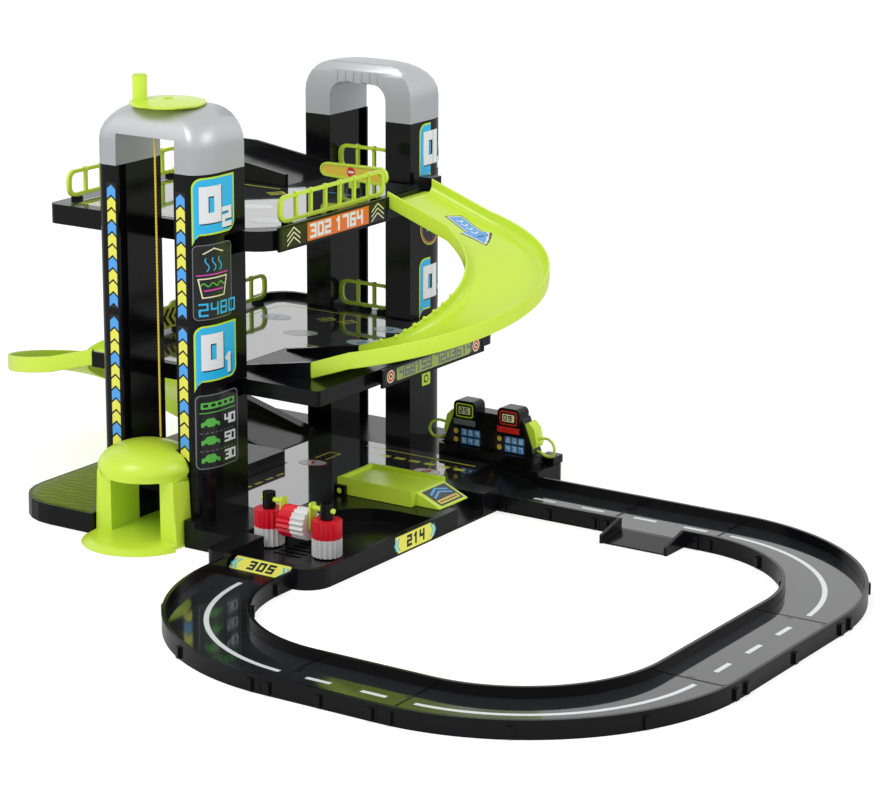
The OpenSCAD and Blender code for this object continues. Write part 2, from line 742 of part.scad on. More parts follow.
// Guard rails: drawn along X in the XZ plane with the foot at z = 0
module rail(l) {
    n = round((l - 6) / 17);
    pitch = (l - 2 * rail_bar) / n;
    foot = 2.7;
    r = 7;
    rotate([90, 0, 0]) translate([0, 0, -rail_t / 2]) difference() {
        linear_extrude(rail_t)
            polygon(rounded([[0, foot, r], [l, foot, r], [l, foot + rail_h, r], [0, foot + rail_h, r]]));
        for (i = [0 : n - 1])
            translate([rail_bar + i * pitch, foot + rail_bar, -cut]) linear_extrude(rail_t + 2 * cut)
                polygon(rounded([
                    [rail_bar / 2, 0, i == 0 ? r - rail_bar : 0.8],
                    [pitch - rail_bar / 2, 0, i == n - 1 ? r - rail_bar : 0.8],
                    [pitch - rail_bar / 2, rail_h - 2 * rail_bar, i == n - 1 ? r - rail_bar : 0.8],
                    [rail_bar / 2, rail_h - 2 * rail_bar, i == 0 ? r - rail_bar : 0.8]], 4));
    }
    // rings round the top bar, one over each upright
    for (i = [1 : n - 1])
        translate([rail_bar + i * pitch, 0, foot + rail_h - rail_bar / 2]) rotate([0, 90, 0])
            cylinder(h = 2.2, d = rail_bar + 1.8, center = true, $fn = 16);
    for (s = pegs(l))
        rod(s, 0, fit_gap, foot + fuse, 2.6);
}

module rail_along_y(at, l) {
    color([0.74, 0.88, 0.12]) translate([at[0], at[1], at[2]]) rotate([0, 0, 90]) rail(l);
}

module rail_along_x(z) {
    color([0.74, 0.88, 0.12]) translate([-rear_rail_l / 2, rear_rail_y, z]) rail(rear_rail_l);
}

module upper_left_rail() rail_along_y(upper_left_rail_at, upper_left_rail_l);
module upper_front_rail() rail_along_y(upper_front_rail_at, upper_front_rail_l);
module middle_left_rail() {
    at = middle_left_rail_at;
    rail_along_y(at, middle_left_rail_l);
    // plate with a direction mark, beside the rear ramp's start
    color([0.74, 0.88, 0.12])
        block(at[0] - rail_t / 2, at[0] + rail_t / 2 + 0.4, at[1] - 9, at[1] + 18, at[2] + 2.7, at[2] + 19);
}
module upper_rear_rail() rail_along_x(upper_top);
module middle_rear_rail() rail_along_x(deck_top);

// Sign boards clipped on a storey's right edge; clips are at shares of the board's length
module sign_board(x, y0, y1, z0, z1, reach) {
    clip_w = 8;
    margin = 3;
    recess = 0.6;
    color([0.13, 0.14, 0.12]) {
        difference() {
            block(x, x + 2, y0, y1, z0, z1);
            block(x + 2 - recess, x + 2 + cut, y0 + margin, y1 - margin, z0 + margin / 2, z1 - margin / 2);
        }
        for (share = [0.22, 0.78]) let (y = y0 + (y1 - y0) * share)
            block(x - reach, x + fuse, y - clip_w / 2, y + clip_w / 2, z1 - 2.5, z1 - 1.5);
    }
}

module upper_sign() {
    y0 = upper_front_rail_at[1] - 9;
    sign_board(upper_right + fit_gap, y0, front_lane_y - ramp_w / 2 - fit_gap, upper_z - 0.5, upper_top + 2.5, 4);
}

module middle_sign() {
    sign_board(middle_right + 6, front_land_y + ramp_w / 2 - 18.5, front_lane_y + 21, deck_z, deck_top + 2, 0);
    color([0.13, 0.14, 0.12])
        for (y = [front_land_y + 24, front_lane_y])
            block(middle_right + fit_gap, middle_right + 6 + fuse, y - 4, y + 4, deck_z + 1, deck_z + 8);
}

// Turning barrier beside the lane to the front ramp
module barrier_socket() {
    color([0.1, 0.1, 0.11]) difference() {
        union() {
            rod(barrier_x, barrier_y, upper_top - plate_t, upper_top + cut, barrier_pin_d + 3);
            rod(barrier_x, barrier_y, upper_top, upper_top + 3.5, barrier_pin_d + 7);
        }
        rod(barrier_x, barrier_y, upper_top - 1.2, upper_top + 4, barrier_pin_d + 2 * pin_gap);
    }
}

module barrier_arm() {
    z0 = upper_top + 3.5 + run_gap;
    color([0.74, 0.88, 0.12]) translate([barrier_x, barrier_y, 0]) {
        rod(0, 0, upper_top - 1.2 + run_gap, z0 + fuse, barrier_pin_d);
        rod(0, 0, z0, z0 + 5.5, barrier_pin_d + 4);
        // the paddle widens towards its free end
        difference() {
            paddle(z0 + 4, 0, rail_t + 1.2, 0);
            for (side = [-1, 1])
                paddle(z0 + 4, side * (rail_t / 2 + 0.6), 1.2, 1.6);
        }
    }
}

// The paddle's outline drawn inward by t, as a plate about y with a thickness
module paddle(z, y, thick, t) {
    small = barrier_w * 0.38;
    large = barrier_w * 0.5;
    translate([0, y + thick / 2, z + large]) rotate([90, 0, 0]) linear_extrude(thick)
        polygon(concat(arc([barrier_l / 2 - large, 0], large - t, -85, 87, 12),
            arc([small - barrier_l / 2, 0.6], small - t, 91, 272, 12)));
}

// Winch
module crank() {
    disc_z = cap_top + run_gap;
    dome_rise = 2.2;
    peg_at = 0.72 * crank_r * [-0.83, -0.55];
    dome_r = (crank_r * crank_r + dome_rise * dome_rise) / (2 * dome_rise);
    color([0.74, 0.88, 0.12]) translate([shaft_x, shaft_y, 0]) {
        rod(0, 0, disc_z, disc_z + 1.4, 2 * crank_r);
        intersection() {
            translate([0, 0, disc_z + 1.4 + dome_rise - dome_r]) sphere(r = dome_r, $fn = 96);
            rod(0, 0, disc_z + 1, disc_z + 6, 2 * crank_r);
        }
        rod(peg_at[0], peg_at[1], disc_z + 1, disc_z + 1 + peg_h, peg_d);
        rod(peg_at[0], peg_at[1], disc_z + peg_h, disc_z + 2 + peg_h, peg_d - 1.6);
        rod(0, 0, disc_z + 1, disc_z + 1.4 + dome_rise + 0.8, 6);
        difference() {
            rod(0, 0, drum_z + drum_h + fit_gap, disc_z + fuse, shaft_d);
            block(-square / 2 - fit_gap / 2, square / 2 + fit_gap / 2, -square / 2 - fit_gap / 2,
                square / 2 + fit_gap / 2, drum_z + drum_h - cut, drum_z + drum_h + 4);
        }
    }
}

module cord_drum() {
    color([0.25, 0.25, 0.27]) translate([shaft_x, shaft_y, 0]) {
        rod(0, 0, winch_z + 0.3, drum_z + fuse, square);
        rod(0, 0, drum_z, drum_z + drum_flange_t, 2 * drum_flange_r);
        rod(0, 0, drum_z + drum_flange_t - fuse, drum_z + drum_h - drum_flange_t + fuse, 2 * core_r);
        rod(0, 0, drum_z + drum_h - drum_flange_t, drum_z + drum_h, 2 * drum_flange_r);
        block(-square / 2, square / 2, -square / 2, square / 2, drum_z + drum_h - fuse, drum_z + drum_h + 3.6);
    }
}

module cord_winding() {
    color([0.93, 0.78, 0.2]) translate([shaft_x, shaft_y, 0]) difference() {
        rod(0, 0, drum_z + drum_flange_t, drum_z + drum_h - drum_flange_t, 2 * drum_r + cord_d);
        rod(0, 0, drum_z, drum_z + drum_h, 2 * core_r);
    }
}

module cord_guide() {
    color([0.55, 0.56, 0.58]) difference() {
        union() {
            rod(shaft_x, cord_y, guide_z0, winch_z + winch_t, cord_d + 2);
            rod(shaft_x, cord_y, guide_z0, winch_z, cord_d + 5);
        }
        rod(shaft_x, cord_y, guide_z0 - cut, winch_z + winch_t + cut, cord_d + 0.5);
    }
}

module lift_cord() {
    color([0.93, 0.78, 0.2]) translate([shaft_x, cord_y, roof_top - 2.4])
        cylinder(h = guide_z0 + 1 - roof_top + 2.4, d = cord_d, $fn = 8);
}

module cord_lead() {
    color([0.93, 0.78, 0.2]) translate([shaft_x, shaft_y, drum_z]) tube(lead_route, cord_d, 8);
}

// Cab: the body carries the car, the roof holds the cord
module cab_body() {
    leg_w = 12;
    apron_t = 1.6;
    leg_rear = nose_y - run_gap - 0.7;
    guide_r = 3.4;
    color([0.74, 0.88, 0.12]) {
        // floor inside the shaft and under the doorway
        block(-cab_side_half, cab_side_half, cab_front, cab_rear, cab_z + pit_floor + 0.1, cab_floor_top);
        block(-cab_half_w, cab_half_w, cab_front, leg_rear, cab_z, cab_floor_top);
        // apron, thinning out towards the front
        intersection() {
            translate([0, cab_front + 4, cab_z]) cylinder(h = cab_floor_top - cab_z, r1 = apron_r, r2 = apron_r - 7, $fn = 72);
            union() {
                block(-apron_r - cut, apron_r + cut, cab_front - apron_r, base_front - slide_gap, cab_z, cab_floor_top);
                block(-cab_half_w - 2, cab_half_w + 2, cab_front - apron_r, cab_front + fuse, cab_z, cab_floor_top);
            }
        }
        for (side = [-1, 1]) mirror([side < 0 ? 1 : 0, 0, 0]) {
            // flared front leg
            prism_y([[cab_door_half, cab_z], [cab_half_w + 2, cab_z], [cab_half_w, cab_door_h],
                [cab_door_half, cab_door_h]], cab_front, leg_rear);
            // open side inside the shaft, between a post behind the leg and one at the back
            block(cab_door_half, cab_side_half, leg_rear - fuse, groove_y1 + 2, cab_floor_top - fuse, cab_door_h);
            block(cab_door_half, cab_side_half, cab_rear - 4, cab_rear, cab_floor_top - fuse, cab_door_h);
            // runner in the pillar's groove
            block(cab_side_half - fuse, groove_x - slide_gap, groove_y0 + slide_gap, groove_y1 - slide_gap,
                base_h + slide_gap, cab_door_h);
        }
        // lintel over the doorway
        block(-cab_half_w + 0.4, cab_half_w - 0.4, cab_front, leg_rear, cab_door_h - fuse, roof_z0);
        block(-cab_side_half, cab_side_half, leg_rear - fuse, cab_rear, cab_door_h - fuse, roof_z0);
    }
}

module cab_roof() {
    color([0.74, 0.88, 0.12]) difference() {
        intersection() {
            translate([0, roof_y, 0]) rotate_extrude($fn = 96)
                polygon(concat([[0, roof_z0], [roof_r - 1.5, roof_z0]], oval([0, roof_z], roof_r, roof_r * roof_squash, 0, 90, 14)));
            union() {
                block(-roof_r - cut, roof_r + cut, roof_y - roof_r - cut, nose_y - run_gap - 0.7, roof_z0, roof_top + cut);
                block(-cab_side_half + 1.6, cab_side_half - 1.6, nose_y - 2, cab_rear, roof_z0, roof_top + cut);
            }
        }
        // hollow underside
        rod(0, roof_y, roof_z0 - cut, roof_z - 1, 2 * cab_side_half - 8);
        rod(shaft_x, cord_y, roof_z, roof_top + cut, cord_d + 0.4);
    }
}

// Car wash
module wash_post(at) {
    color([0.12, 0.12, 0.13]) difference() {
        union() {
            rod(at[0], at[1], wash_floor, roller_z - run_gap, 12);
            rod(at[0], at[1], wash_floor, roller_z + roller_h + run_gap, post_d);
            rod(at[0], at[1], roller_z + roller_h + run_gap, post_top, post_d + 3);
        }
        rod_x(at[0] - 12, at[0] + 12, at[1], frame_z, frame_pin_d + 2 * pin_gap);
    }
}

module wash_post_left() wash_post(post_left);
module wash_post_right() wash_post(post_right);

// A fluted roller along Z, centred on the origin
module fluted(d, h, bore) {
    depth = 1.5;
    difference() {
        linear_extrude(h)
            polygon([for (i = [0 : 2 * flutes - 1]) let (a = 180 * i / flutes, r = i % 2 == 0 ? d / 2 : d / 2 - depth)
                r * [cos(a), sin(a)]]);
        translate([0, 0, -cut]) cylinder(h = h + 2 * cut, d = bore);
    }
}

module wash_roller(at) {
    translate([at[0], at[1], roller_z]) {
        color([0.9, 0.05, 0.1]) fluted(roller_d, roller_h, post_d + 2 * pin_gap);
    }
}

module wash_roller_left() wash_roller(post_left);
module wash_roller_right() wash_roller(post_right);

module top_roller_frame() {
    y = post_left[1];
    z = frame_z - frame_drop;
    inner = top_roller_l / 2 + run_gap;
    outer = inner + frame_arm_t;
    color([0.74, 0.88, 0.12]) {
        rod_x(wash_mid_x - inner - fuse, wash_mid_x + inner + fuse, y, z, roller_bore - 2 * pin_gap);
        for (side = [-1, 1])
            translate([wash_mid_x, 0, 0]) mirror([side < 0 ? 1 : 0, 0, 0]) {
                prism_x(rounded([[y - 3.5, z - 3.5, 2], [y + 3.5, z - 3.5, 2], [y + 3.5, frame_z + 3.5, 2],
                    [y - 3.5, frame_z + 3.5, 2]]), inner, outer);
                rod_x(outer - fuse, post_right[0] - wash_mid_x + post_d / 2 + 3, y, frame_z, frame_pin_d);
            }
    }
}

module top_roller() {
    color([0.9, 0.05, 0.1])
        translate([wash_mid_x - top_roller_l / 2, post_left[1], frame_z - frame_drop]) rotate([0, 90, 0])
            fluted(top_roller_d, top_roller_l, roller_bore);
}

// Service ramp: a hollow bridge with a tongue towards the exit, hinged at its high end
module service_ramp() {
    top = service_z + service_h;
    rim = 2.5;
    wall = 2;
    color([0.74, 0.88, 0.12]) {
        difference() {
            union() {
                prism_y([[service_x0, service_pin_z + run_gap], [service_pin_x, service_z], [service_x1, service_z],
                    [service_x1, top], [service_x0, top]], service_y0, service_y1);
                for (y = [service_y0, service_y1 - wall])
                    block(service_x0, service_x1, y, y + wall, top - fuse, top + rim);
                block(service_x0, service_x0 + wall, service_y0, service_y1, top - fuse, top + rim);
                // tongue
                prism_y([[service_x1 - fuse, service_z], [service_tip, service_z], [service_tip, service_z + 0.8],
                    [service_x1 - fuse, top]], service_y0 + 6, service_y1 - 2);
            }
            // hollow underside
            block(service_x0 + wall + 8, service_x1 - wall, service_y0 + wall, service_y1 - wall,
                service_z - cut, top - wall);
        }
        // stub pins
        rod_y(service_pin_x, service_y0 - 3.4, service_y0 + fuse, service_pin_z + run_gap, service_pin_d);
        rod_y(service_pin_x, service_y1 - fuse, service_y1 + 3.4, service_pin_z + run_gap, service_pin_d);
    }
}

module service_ears() {
    for (y = [service_y0 - 0.5 - 3, service_y1 + 0.5])
        difference() {
            block(service_pin_x - 4.5, service_pin_x + 4.5, y, y + 3, base_h - fuse, service_pin_z + run_gap + 4);
            rod_y(service_pin_x, y - cut, y + 3 + cut, service_pin_z + run_gap, service_pin_d + 2 * pin_gap);
        }
}

// Pump station with two display heads
module pump_station() {
    head_w = 19;
    head_z = 57;
    y0 = pump_y0 + 5;
    y1 = pump_y1 - 1;
    color([0.12, 0.12, 0.13]) {
        slab(rounded([[pump_x0, pump_y0, 3], [pump_x1, pump_y0, 3], [pump_x1, pump_y1, 3], [pump_x0, pump_y1, 3]]),
            base_h, pump_foot_z);
        difference() {
            prism_y([[pump_x0 + pump_toe, pump_foot_z - fuse], [pump_x1 - pump_toe, pump_foot_z - fuse],
                [pump_x1 - pump_toe, pump_foot_z],
                [pump_x1 - pump_top_in, pump_wall_z], [pump_x0 + pump_top_in, pump_wall_z],
                [pump_x0 + pump_toe, pump_foot_z]], y0, y1);
            // ports for the hoses
            rod_x(pump_x0 - cut, pump_x0 + 14, hose_y, hose_port_z, hose_d + 0.6);
            rod_x(pump_x1 - 14, pump_x1 + cut, hose_y, hose_port_z, hose_d + 0.6);
            rod_x(pump_x0 - cut, pump_x0 + 14, hose_y, hose_top_z, hose_d + 0.6);
            rod_x(pump_x1 - 14, pump_x1 + cut, hose_y, hose_top_z, hose_d + 0.6);
        }
        for (x = [pump_mid - 9.5 - head_w, pump_mid + 9.5])
            prism_y(rounded([[x, pump_wall_z - 14, 0], [x + head_w, pump_wall_z - 14, 0], [x + head_w, head_z, 4],
                [x, head_z, 4]], 4), y0 - 3, y1 - 2);
    }
}

// A round tube along a route, with square ends
module tube(route, d, sides) {
    n = len(route);
    dirs = [for (i = [0 : n - 1]) unit(route[min(i + 1, n - 1)] - route[max(i - 1, 0)])];
    side_of = [for (t = dirs) unit(cross(t, [0, 1, 0.05]))];
    up_of = [for (i = [0 : n - 1]) cross(side_of[i], dirs[i])];
    points = [for (i = [0 : n - 1], j = [0 : sides - 1]) let (a = 360 * j / sides)
        route[i] + d / 2 * (cos(a) * side_of[i] - sin(a) * up_of[i])];
    walls = [for (i = [0 : n - 2], j = [0 : sides - 1]) let (k = (j + 1) % sides, a = i * sides, b = a + sides)
        each [[a + j, b + j, a + k], [a + k, b + j, b + k]]];
    ends = [[for (j = [0 : sides - 1]) j], [for (j = [sides - 1 : -1 : 0]) (n - 1) * sides + j]];
    polyhedron(points, concat(walls, ends), 8);
}

// Sets a piece drawn for the pump station's left end in its place
module at_pump(side) {
    translate([pump_mid, hose_y, 0]) mirror([side > 0 ? 1 : 0, 0, 0]) children();
}

module pump_hose(side) {
    color([0.74, 0.88, 0.12]) at_pump(side) tube(hose_route, hose_d, 8);
}

// A nozzle that lies on the slanted end of the station
module pump_nozzle(side) {
    foot = [pump_toe - pump_half, pump_foot_z];
    along = unit([pump_top_in - pump_toe, pump_wall_z - pump_foot_z]);
    out = [-along[1], along[0]];
    color([0.74, 0.88, 0.12]) at_pump(side) difference() {
        prism_y([foot + 6 * along, foot + 25.5 * along, foot + 25.5 * along + 3.6 * out, foot + 20 * along + 6 * out,
            foot + 9 * along + 4.4 * out, foot + 6.5 * along + 2.4 * out], -5, 5);
        rod_x(-pump_half, -pump_half + 20, 0, hose_top_z, hose_d + 0.6);
    }
}

module pump_nozzle_left() pump_nozzle(-1);
module pump_nozzle_right() pump_nozzle(1);
module pump_hose_left() pump_hose(-1);
module pump_hose_right() pump_hose(1);

// Base tray
function base_plan() = rounded([
    [base_left, base_front, 40], [pit_half - 2, base_front, 0], [pit_half - 2, foot_front, 0],
    [wash_x0, foot_front, 0], [wash_x0, wash_front, 9], [base_right, wash_front, 18],
    [base_right, base_rear, 8], [tower_half_w + 6, base_rear, 0], [tower_half_w + 6, base_rear_bump, 8],
    [-tower_half_w - 6, base_rear_bump, 8], [-tower_half_w - 6, base_rear, 0], [base_left, base_rear, 14]]);

// Plan of the wash bay, grown by t
wash_back_r = 43;
wash_back_c = [136, -89];
entry_x1 = entry_x0 + lane_w + 0.5;
function wash_plan(t) = concat(
    [[entry_x0 - t, wash_front - cut], [entry_x1 + t, wash_front - cut], [entry_x1 + t, wash_front + 4 - t]],
    arc([base_right - 3.5 - 13, wash_front + 4 + 13], 13 + t, -90, 0, 6),
    [[base_right - 3.5 + t, wash_back_c[1] + wash_back_r + t]],
    arc(wash_back_c, wash_back_r + t, 90, 180, 10),
    [[entry_x0 - t, post_left[1] + 14 + t], [wash_x0 - t, post_left[1] + 14 + t],
        [wash_x0 - t, post_left[1] - 13 - t], [entry_x0 - t, post_left[1] - 13 - t]]);

module base_tray() {
    slope_x0 = 128;
    notch_y0 = -18;
    notch_y1 = 15;
    hump = 7.5;
    color([0.08, 0.08, 0.09]) {
        difference() {
            slab(base_plan(), 0, base_h);
            // lift pit: open in front, floored inside the tower
            block(-pit_half, pit_half, base_front - cut, nose_y - run_gap, -cut, base_h + cut);
            block(-passage_half, passage_half, nose_y - cut, cab_rear + 1.5, pit_floor, base_h + cut);
            // wash bay
            slab(wash_plan(0), wash_floor, base_h + cut);
            // road to the circuit and service exit
            prism_y([[slope_x0, base_h], [slope_x0, base_h + cut], [base_right + cut, base_h + cut],
                [base_right + cut, road_z], [base_right, road_z]], road_y0 + 1, road_y1 - 1);
            prism_y([[slope_x0 + 12, base_h], [slope_x0 + 12, base_h + cut], [base_right + cut, base_h + cut],
                [base_right + cut, 1.5], [base_right, 1.5]], notch_y0, notch_y1);
            // open cells under the platform
            cells(base_left + 10, -tower_half_w - 3, base_front + 26, base_rear - 16, -cut, base_h - base_skin);
            cells(-tower_half_w + 2, tower_half_w - 2, -tower_back + 4, -2, -cut, base_h - base_skin);
            cells(-tower_half_w + 2, tower_half_w - 2, 2, tower_back - 4, -cut, base_h - base_skin);
            cells(tower_half_w + 3, slope_x0 - 4, -36, base_rear - 8, -cut, base_h - base_skin);
            cells(tower_half_w + 3, wash_x0 - 4, foot_front + 8, -40, -cut, base_h - base_skin);
            // drains in the wash floor
            for (i = [0 : 6])
                block(entry_x0 + 8 + 0.5 * i, entry_x0 + 30 + 0.5 * i, -145 + 6.5 * i, -142 + 6.5 * i, -cut, wash_floor + cut);
        }
        // humps at the wash entry and exit
        prism_x([[wash_front + 1.5, wash_floor - fuse], [wash_front + 22, wash_floor - fuse], [wash_front + 18, wash_floor + 4],
            [wash_front + 13, wash_floor + 6]], entry_x0 + 2, entry_x1 - 2);
        prism_y([[base_right - 22, wash_floor - fuse], [base_right - 2, wash_floor - fuse], [base_right - 2, base_h],
            [base_right - 7, wash_floor + hump]], -96, -50);
        // post beside the cab, end post beside the road and raised kerb behind the lift
        block(pit_half, pit_half + 9, foot_front, foot_front + 8, base_h - fuse, base_h + 5);
        block(base_right - 14, base_right - 1.5, pump_y0 + 20, base_rear - 1, base_h - fuse, base_h + 5.5);
        block(-46, 1, -45, 5, base_h - fuse, base_h + 10);
        block(slope_x0, base_right, notch_y1, road_y0 + 1, base_h - fuse, base_h + 2.5);
        for (side = [-1, 1], tower = [-1, 1]) at_pillar(side, tower) plug(base_h);
        service_ears();
    }
}

// Road tiles: a channel with a raised road between two kerbs
module tile_section() {
    w = lane_w / 2;
    polygon([[-w, 0], [-w + kerb_t, 0], [-w + kerb_t, road_z - 2], [w - kerb_t, road_z - 2], [w - kerb_t, 0], [w, 0],
        [w, kerb_h], [w - kerb_t, kerb_h], [w - kerb_t, road_z], [-w + kerb_t, road_z], [-w + kerb_t, kerb_h],
        [-w, kerb_h]]);
}

// A straight tile along X, centred on y = 0, starting at x = 0
module straight_tile(l) {
    translate([fit_gap / 2, 0, 0]) rotate([90, 0, 90]) linear_extrude(l - fit_gap) tile_section();
}

// A tongue that reaches under the next tile along +X from x = 0
module tongue() {
    block(-8, -fit_gap / 2, -tongue_w / 2, tongue_w / 2, 0.8, road_z - 2 + fuse);
    block(-8, tongue_l, -tongue_w / 2, tongue_w / 2, 0.8, road_z - 2 - fit_gap);
}

// Clips moulded on a kerb's outside
module kerb_clip(x, side) {
    block(x - 2, x + 2, side * lane_w / 2 - 1.2 + side * 0.6, side * lane_w / 2 + 1.2 + side * 0.6, 1, 8.5);
}

module clips(l) {
    for (x = [5, l / 2, l - 5], side = [-1, 1])
        kerb_clip(x, side);
}

// A quarter turn about the point c, from the angle start, with a gap of half a fit at its ends
module corner_tile(c, start, first_gap) {
    seam = fit_gap / corner_r * 30;
    seam0 = seam * first_gap;
    translate([c[0], c[1], 0]) rotate([0, 0, start + seam0])
        rotate_extrude(angle = 90 - seam - seam0, $fn = 120) translate([corner_r - lane_w / 2, 0]) tile_section();
    for (a = [start + 3, start + 30, start + 60, start + 87])
        translate([c[0], c[1], 0]) rotate([0, 0, a]) for (r = [corner_r + 0.6, corner_r - lane_w - 0.6])
            block(r - 1.2, r + 1.2, -2, 2, 1, 8.5);
}

lane_mid = corner_r - lane_w / 2;

module road_side_straight() {
    color([0.13, 0.13, 0.14]) translate([side_x0, road_y1 - lane_w / 2, 0]) {
        straight_tile(short_tile);
        clips(short_tile);
        translate([short_tile, 0, 0]) tongue();
    }
}

module road_junction() {
    mouth = 48;
    reach = 24;
    x0 = (junction_tile - mouth) / 2;
    y0 = -lane_w / 2;
    color([0.13, 0.13, 0.14]) translate([side_x1, road_y1 - lane_w / 2, 0]) {
        difference() {
            straight_tile(junction_tile);
            block(x0, x0 + mouth, y0 - cut, y0 + kerb_t + fuse, road_z, kerb_h + cut);
        }
        // turn-off that runs down to the table
        prism_x([[y0 - reach, 0.4], [y0 + kerb_t, 0.4], [y0 + kerb_t, road_z], [y0, road_z], [y0 - reach, 1.4]], x0, x0 + mouth);
        for (x = [x0 - kerb_t, x0 + mouth])
            prism_x([[y0 - reach, 0], [y0 + kerb_t, 0], [y0 + kerb_t, kerb_h], [y0, kerb_h], [y0 - reach, 6]], x, x + kerb_t);
        for (x = [5, junction_tile - 5], side = [-1, 1])
            kerb_clip(x, side);
        kerb_clip(junction_tile / 2, 1);
        translate([junction_tile, 0, 0]) tongue();
    }
}

module road_corner_back() {
    color([0.13, 0.13, 0.14]) {
        corner_tile([corner_cx, corner_cy], 0, 1);
        translate([corner_cx + lane_mid, corner_cy, 0]) rotate([0, 0, -90]) tongue();
    }
}

module road_long_straight() {
    color([0.13, 0.13, 0.14]) translate([corner_cx + lane_mid, corner_cy, 0]) rotate([0, 0, -90]) {
        straight_tile(long_tile);
        clips(long_tile);
        translate([long_tile, 0, 0]) tongue();
    }
}

module road_corner_front_right() {
    color([0.13, 0.13, 0.14]) {
        corner_tile([corner_cx, low_cy], -90, 1);
        translate([corner_cx, low_cy - lane_mid, 0]) rotate([0, 0, 180]) tongue();
    }
}

module road_front_straight() {
    color([0.13, 0.13, 0.14]) translate([corner_cx, low_cy - lane_mid, 0]) rotate([0, 0, 180]) {
        straight_tile(front_tile);
        clips(front_tile);
        translate([front_tile, 0, 0]) tongue();
    }
}

module road_corner_front_left() {
    stub = wash_front - 0.3 - low_cy;
    color([0.13, 0.13, 0.14]) {
        corner_tile([left_cx, low_cy], 180, 0);
        // short straight end that meets the car wash
        translate([left_cx - lane_mid, low_cy, 0]) rotate([90, 0, 180]) linear_extrude(stub) tile_section();
    }
}

base_tray();
base_channel();
pump_station();
pump_nozzle_left();
pump_nozzle_right();
pump_hose_left();
pump_hose_right();
lift_pillar_left_foot();
lift_pillar_left_lower();
lift_pillar_left_upper();
lift_pillar_right_foot();
lift_pillar_right_lower();
lift_pillar_right_upper();
rear_pillar_left_foot();
rear_pillar_left_lower();
rear_pillar_left_upper();
rear_pillar_right_foot();
rear_pillar_right_lower();
rear_pillar_right_upper();
lift_cap();
winch_plate();
arch_cap();
middle_deck();
upper_deck();
middle_channel();
upper_channel();
front_ramp();
rear_ramp();
upper_left_rail();
upper_front_rail();
upper_rear_rail();
middle_left_rail();
middle_rear_rail();
upper_sign();
middle_sign();
barrier_socket();
barrier_arm();
crank();
cord_drum();
cord_winding();
cord_guide();
cord_lead();
lift_cord();
cab_body();
cab_roof();
wash_post_left();
wash_post_right();
wash_roller_left();
wash_roller_right();
top_roller_frame();
top_roller();
service_ramp();
road_side_straight();
road_junction();
road_corner_back();
road_long_straight();
road_corner_front_right();
road_front_straight();
road_corner_front_left();
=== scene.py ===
# %% [markdown]
# # A toy parking garage
# The real thing is a playset of moulded plastic: glossy black towers and storeys, lime ramps and
# rails, silver caps, and printed foil stickers on floors and signs. The solids come from the
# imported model, so this file adds what moulding and printing add: rounded edges, finishes,
# stickers, the cord and the hoses. Everything is in metres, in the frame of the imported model.

# %% Load the frame
import math
import bmesh
import bpy
import numpy as np
from mathutils import Matrix, Vector


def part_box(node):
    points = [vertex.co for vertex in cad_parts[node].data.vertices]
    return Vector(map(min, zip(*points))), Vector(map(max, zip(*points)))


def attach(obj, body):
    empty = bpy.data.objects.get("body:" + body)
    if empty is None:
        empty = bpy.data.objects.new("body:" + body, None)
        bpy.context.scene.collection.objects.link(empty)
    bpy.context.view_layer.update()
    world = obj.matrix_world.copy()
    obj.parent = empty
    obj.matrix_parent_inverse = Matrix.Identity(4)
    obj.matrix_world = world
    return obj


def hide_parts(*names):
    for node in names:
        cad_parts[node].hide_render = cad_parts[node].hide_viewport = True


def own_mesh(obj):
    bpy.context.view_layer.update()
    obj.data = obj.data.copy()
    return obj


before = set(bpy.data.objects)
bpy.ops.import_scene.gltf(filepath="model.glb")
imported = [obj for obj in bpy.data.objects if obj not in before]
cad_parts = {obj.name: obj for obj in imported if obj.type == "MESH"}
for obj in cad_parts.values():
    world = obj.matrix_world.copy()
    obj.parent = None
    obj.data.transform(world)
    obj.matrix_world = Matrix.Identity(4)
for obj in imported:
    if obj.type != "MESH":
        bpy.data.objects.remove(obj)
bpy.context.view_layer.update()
MM = 0.001

# %% [markdown]
# The photograph was taken with a long lens from the front right, a little above the upper storey.
# A camera is placed by three directions of its own: to its right, up, and backwards. They are
# worked out from its heading, its tilt and a slight roll, which is easier to correct than angles
# that Blender applies in turn.

# %% Camera
CAMERA_PLACE = (1.25465, -1.69070, 0.62933)
HEADING = math.radians(33.4)
TILT = math.radians(15.05)
ROLL = math.radians(0.25)
SENSOR = 36.0
PHOTO_WIDTH = 880
FOCAL_PIXELS = 3000.0


def camera_axes(heading, tilt, roll):
    """Right, up and back from heading and tilt; the roll then turns right and up about back."""
    level = math.cos(tilt)
    back = Vector((math.sin(heading) * level, -math.cos(heading) * level, math.sin(tilt)))
    right = Vector((math.cos(heading), math.sin(heading), 0))
    up = back.cross(right)
    c, s = math.cos(roll), math.sin(roll)
    return right * c + up * s, up * c - right * s, back


camera_data = bpy.data.cameras.new("photo_camera")
camera_data.sensor_width = SENSOR
camera_data.sensor_fit = "HORIZONTAL"
camera_data.lens = FOCAL_PIXELS / PHOTO_WIDTH * SENSOR
camera_data.clip_end = 20
camera = bpy.data.objects.new("photo_camera", camera_data)
right, up, back = camera_axes(HEADING, TILT, ROLL)
camera.matrix_world = Matrix.Translation(CAMERA_PLACE) @ Matrix((right, up, back)).transposed().to_4x4()
bpy.context.scene.collection.objects.link(camera)
bpy.context.scene.camera = camera
bpy.context.scene.view_settings.view_transform = "Standard"
print("lens, in mm:", round(camera_data.lens, 1))

# %% [markdown]
# Glossy black plastic shows its surroundings more than its own colour, so the surroundings
# matter: the camera, reflections and glass see plain white, while the light that falls on the
# object is softer. Two large lamps give the soft highlights of a photo studio.

# %% Room
WORLD_LEVEL = 0.62


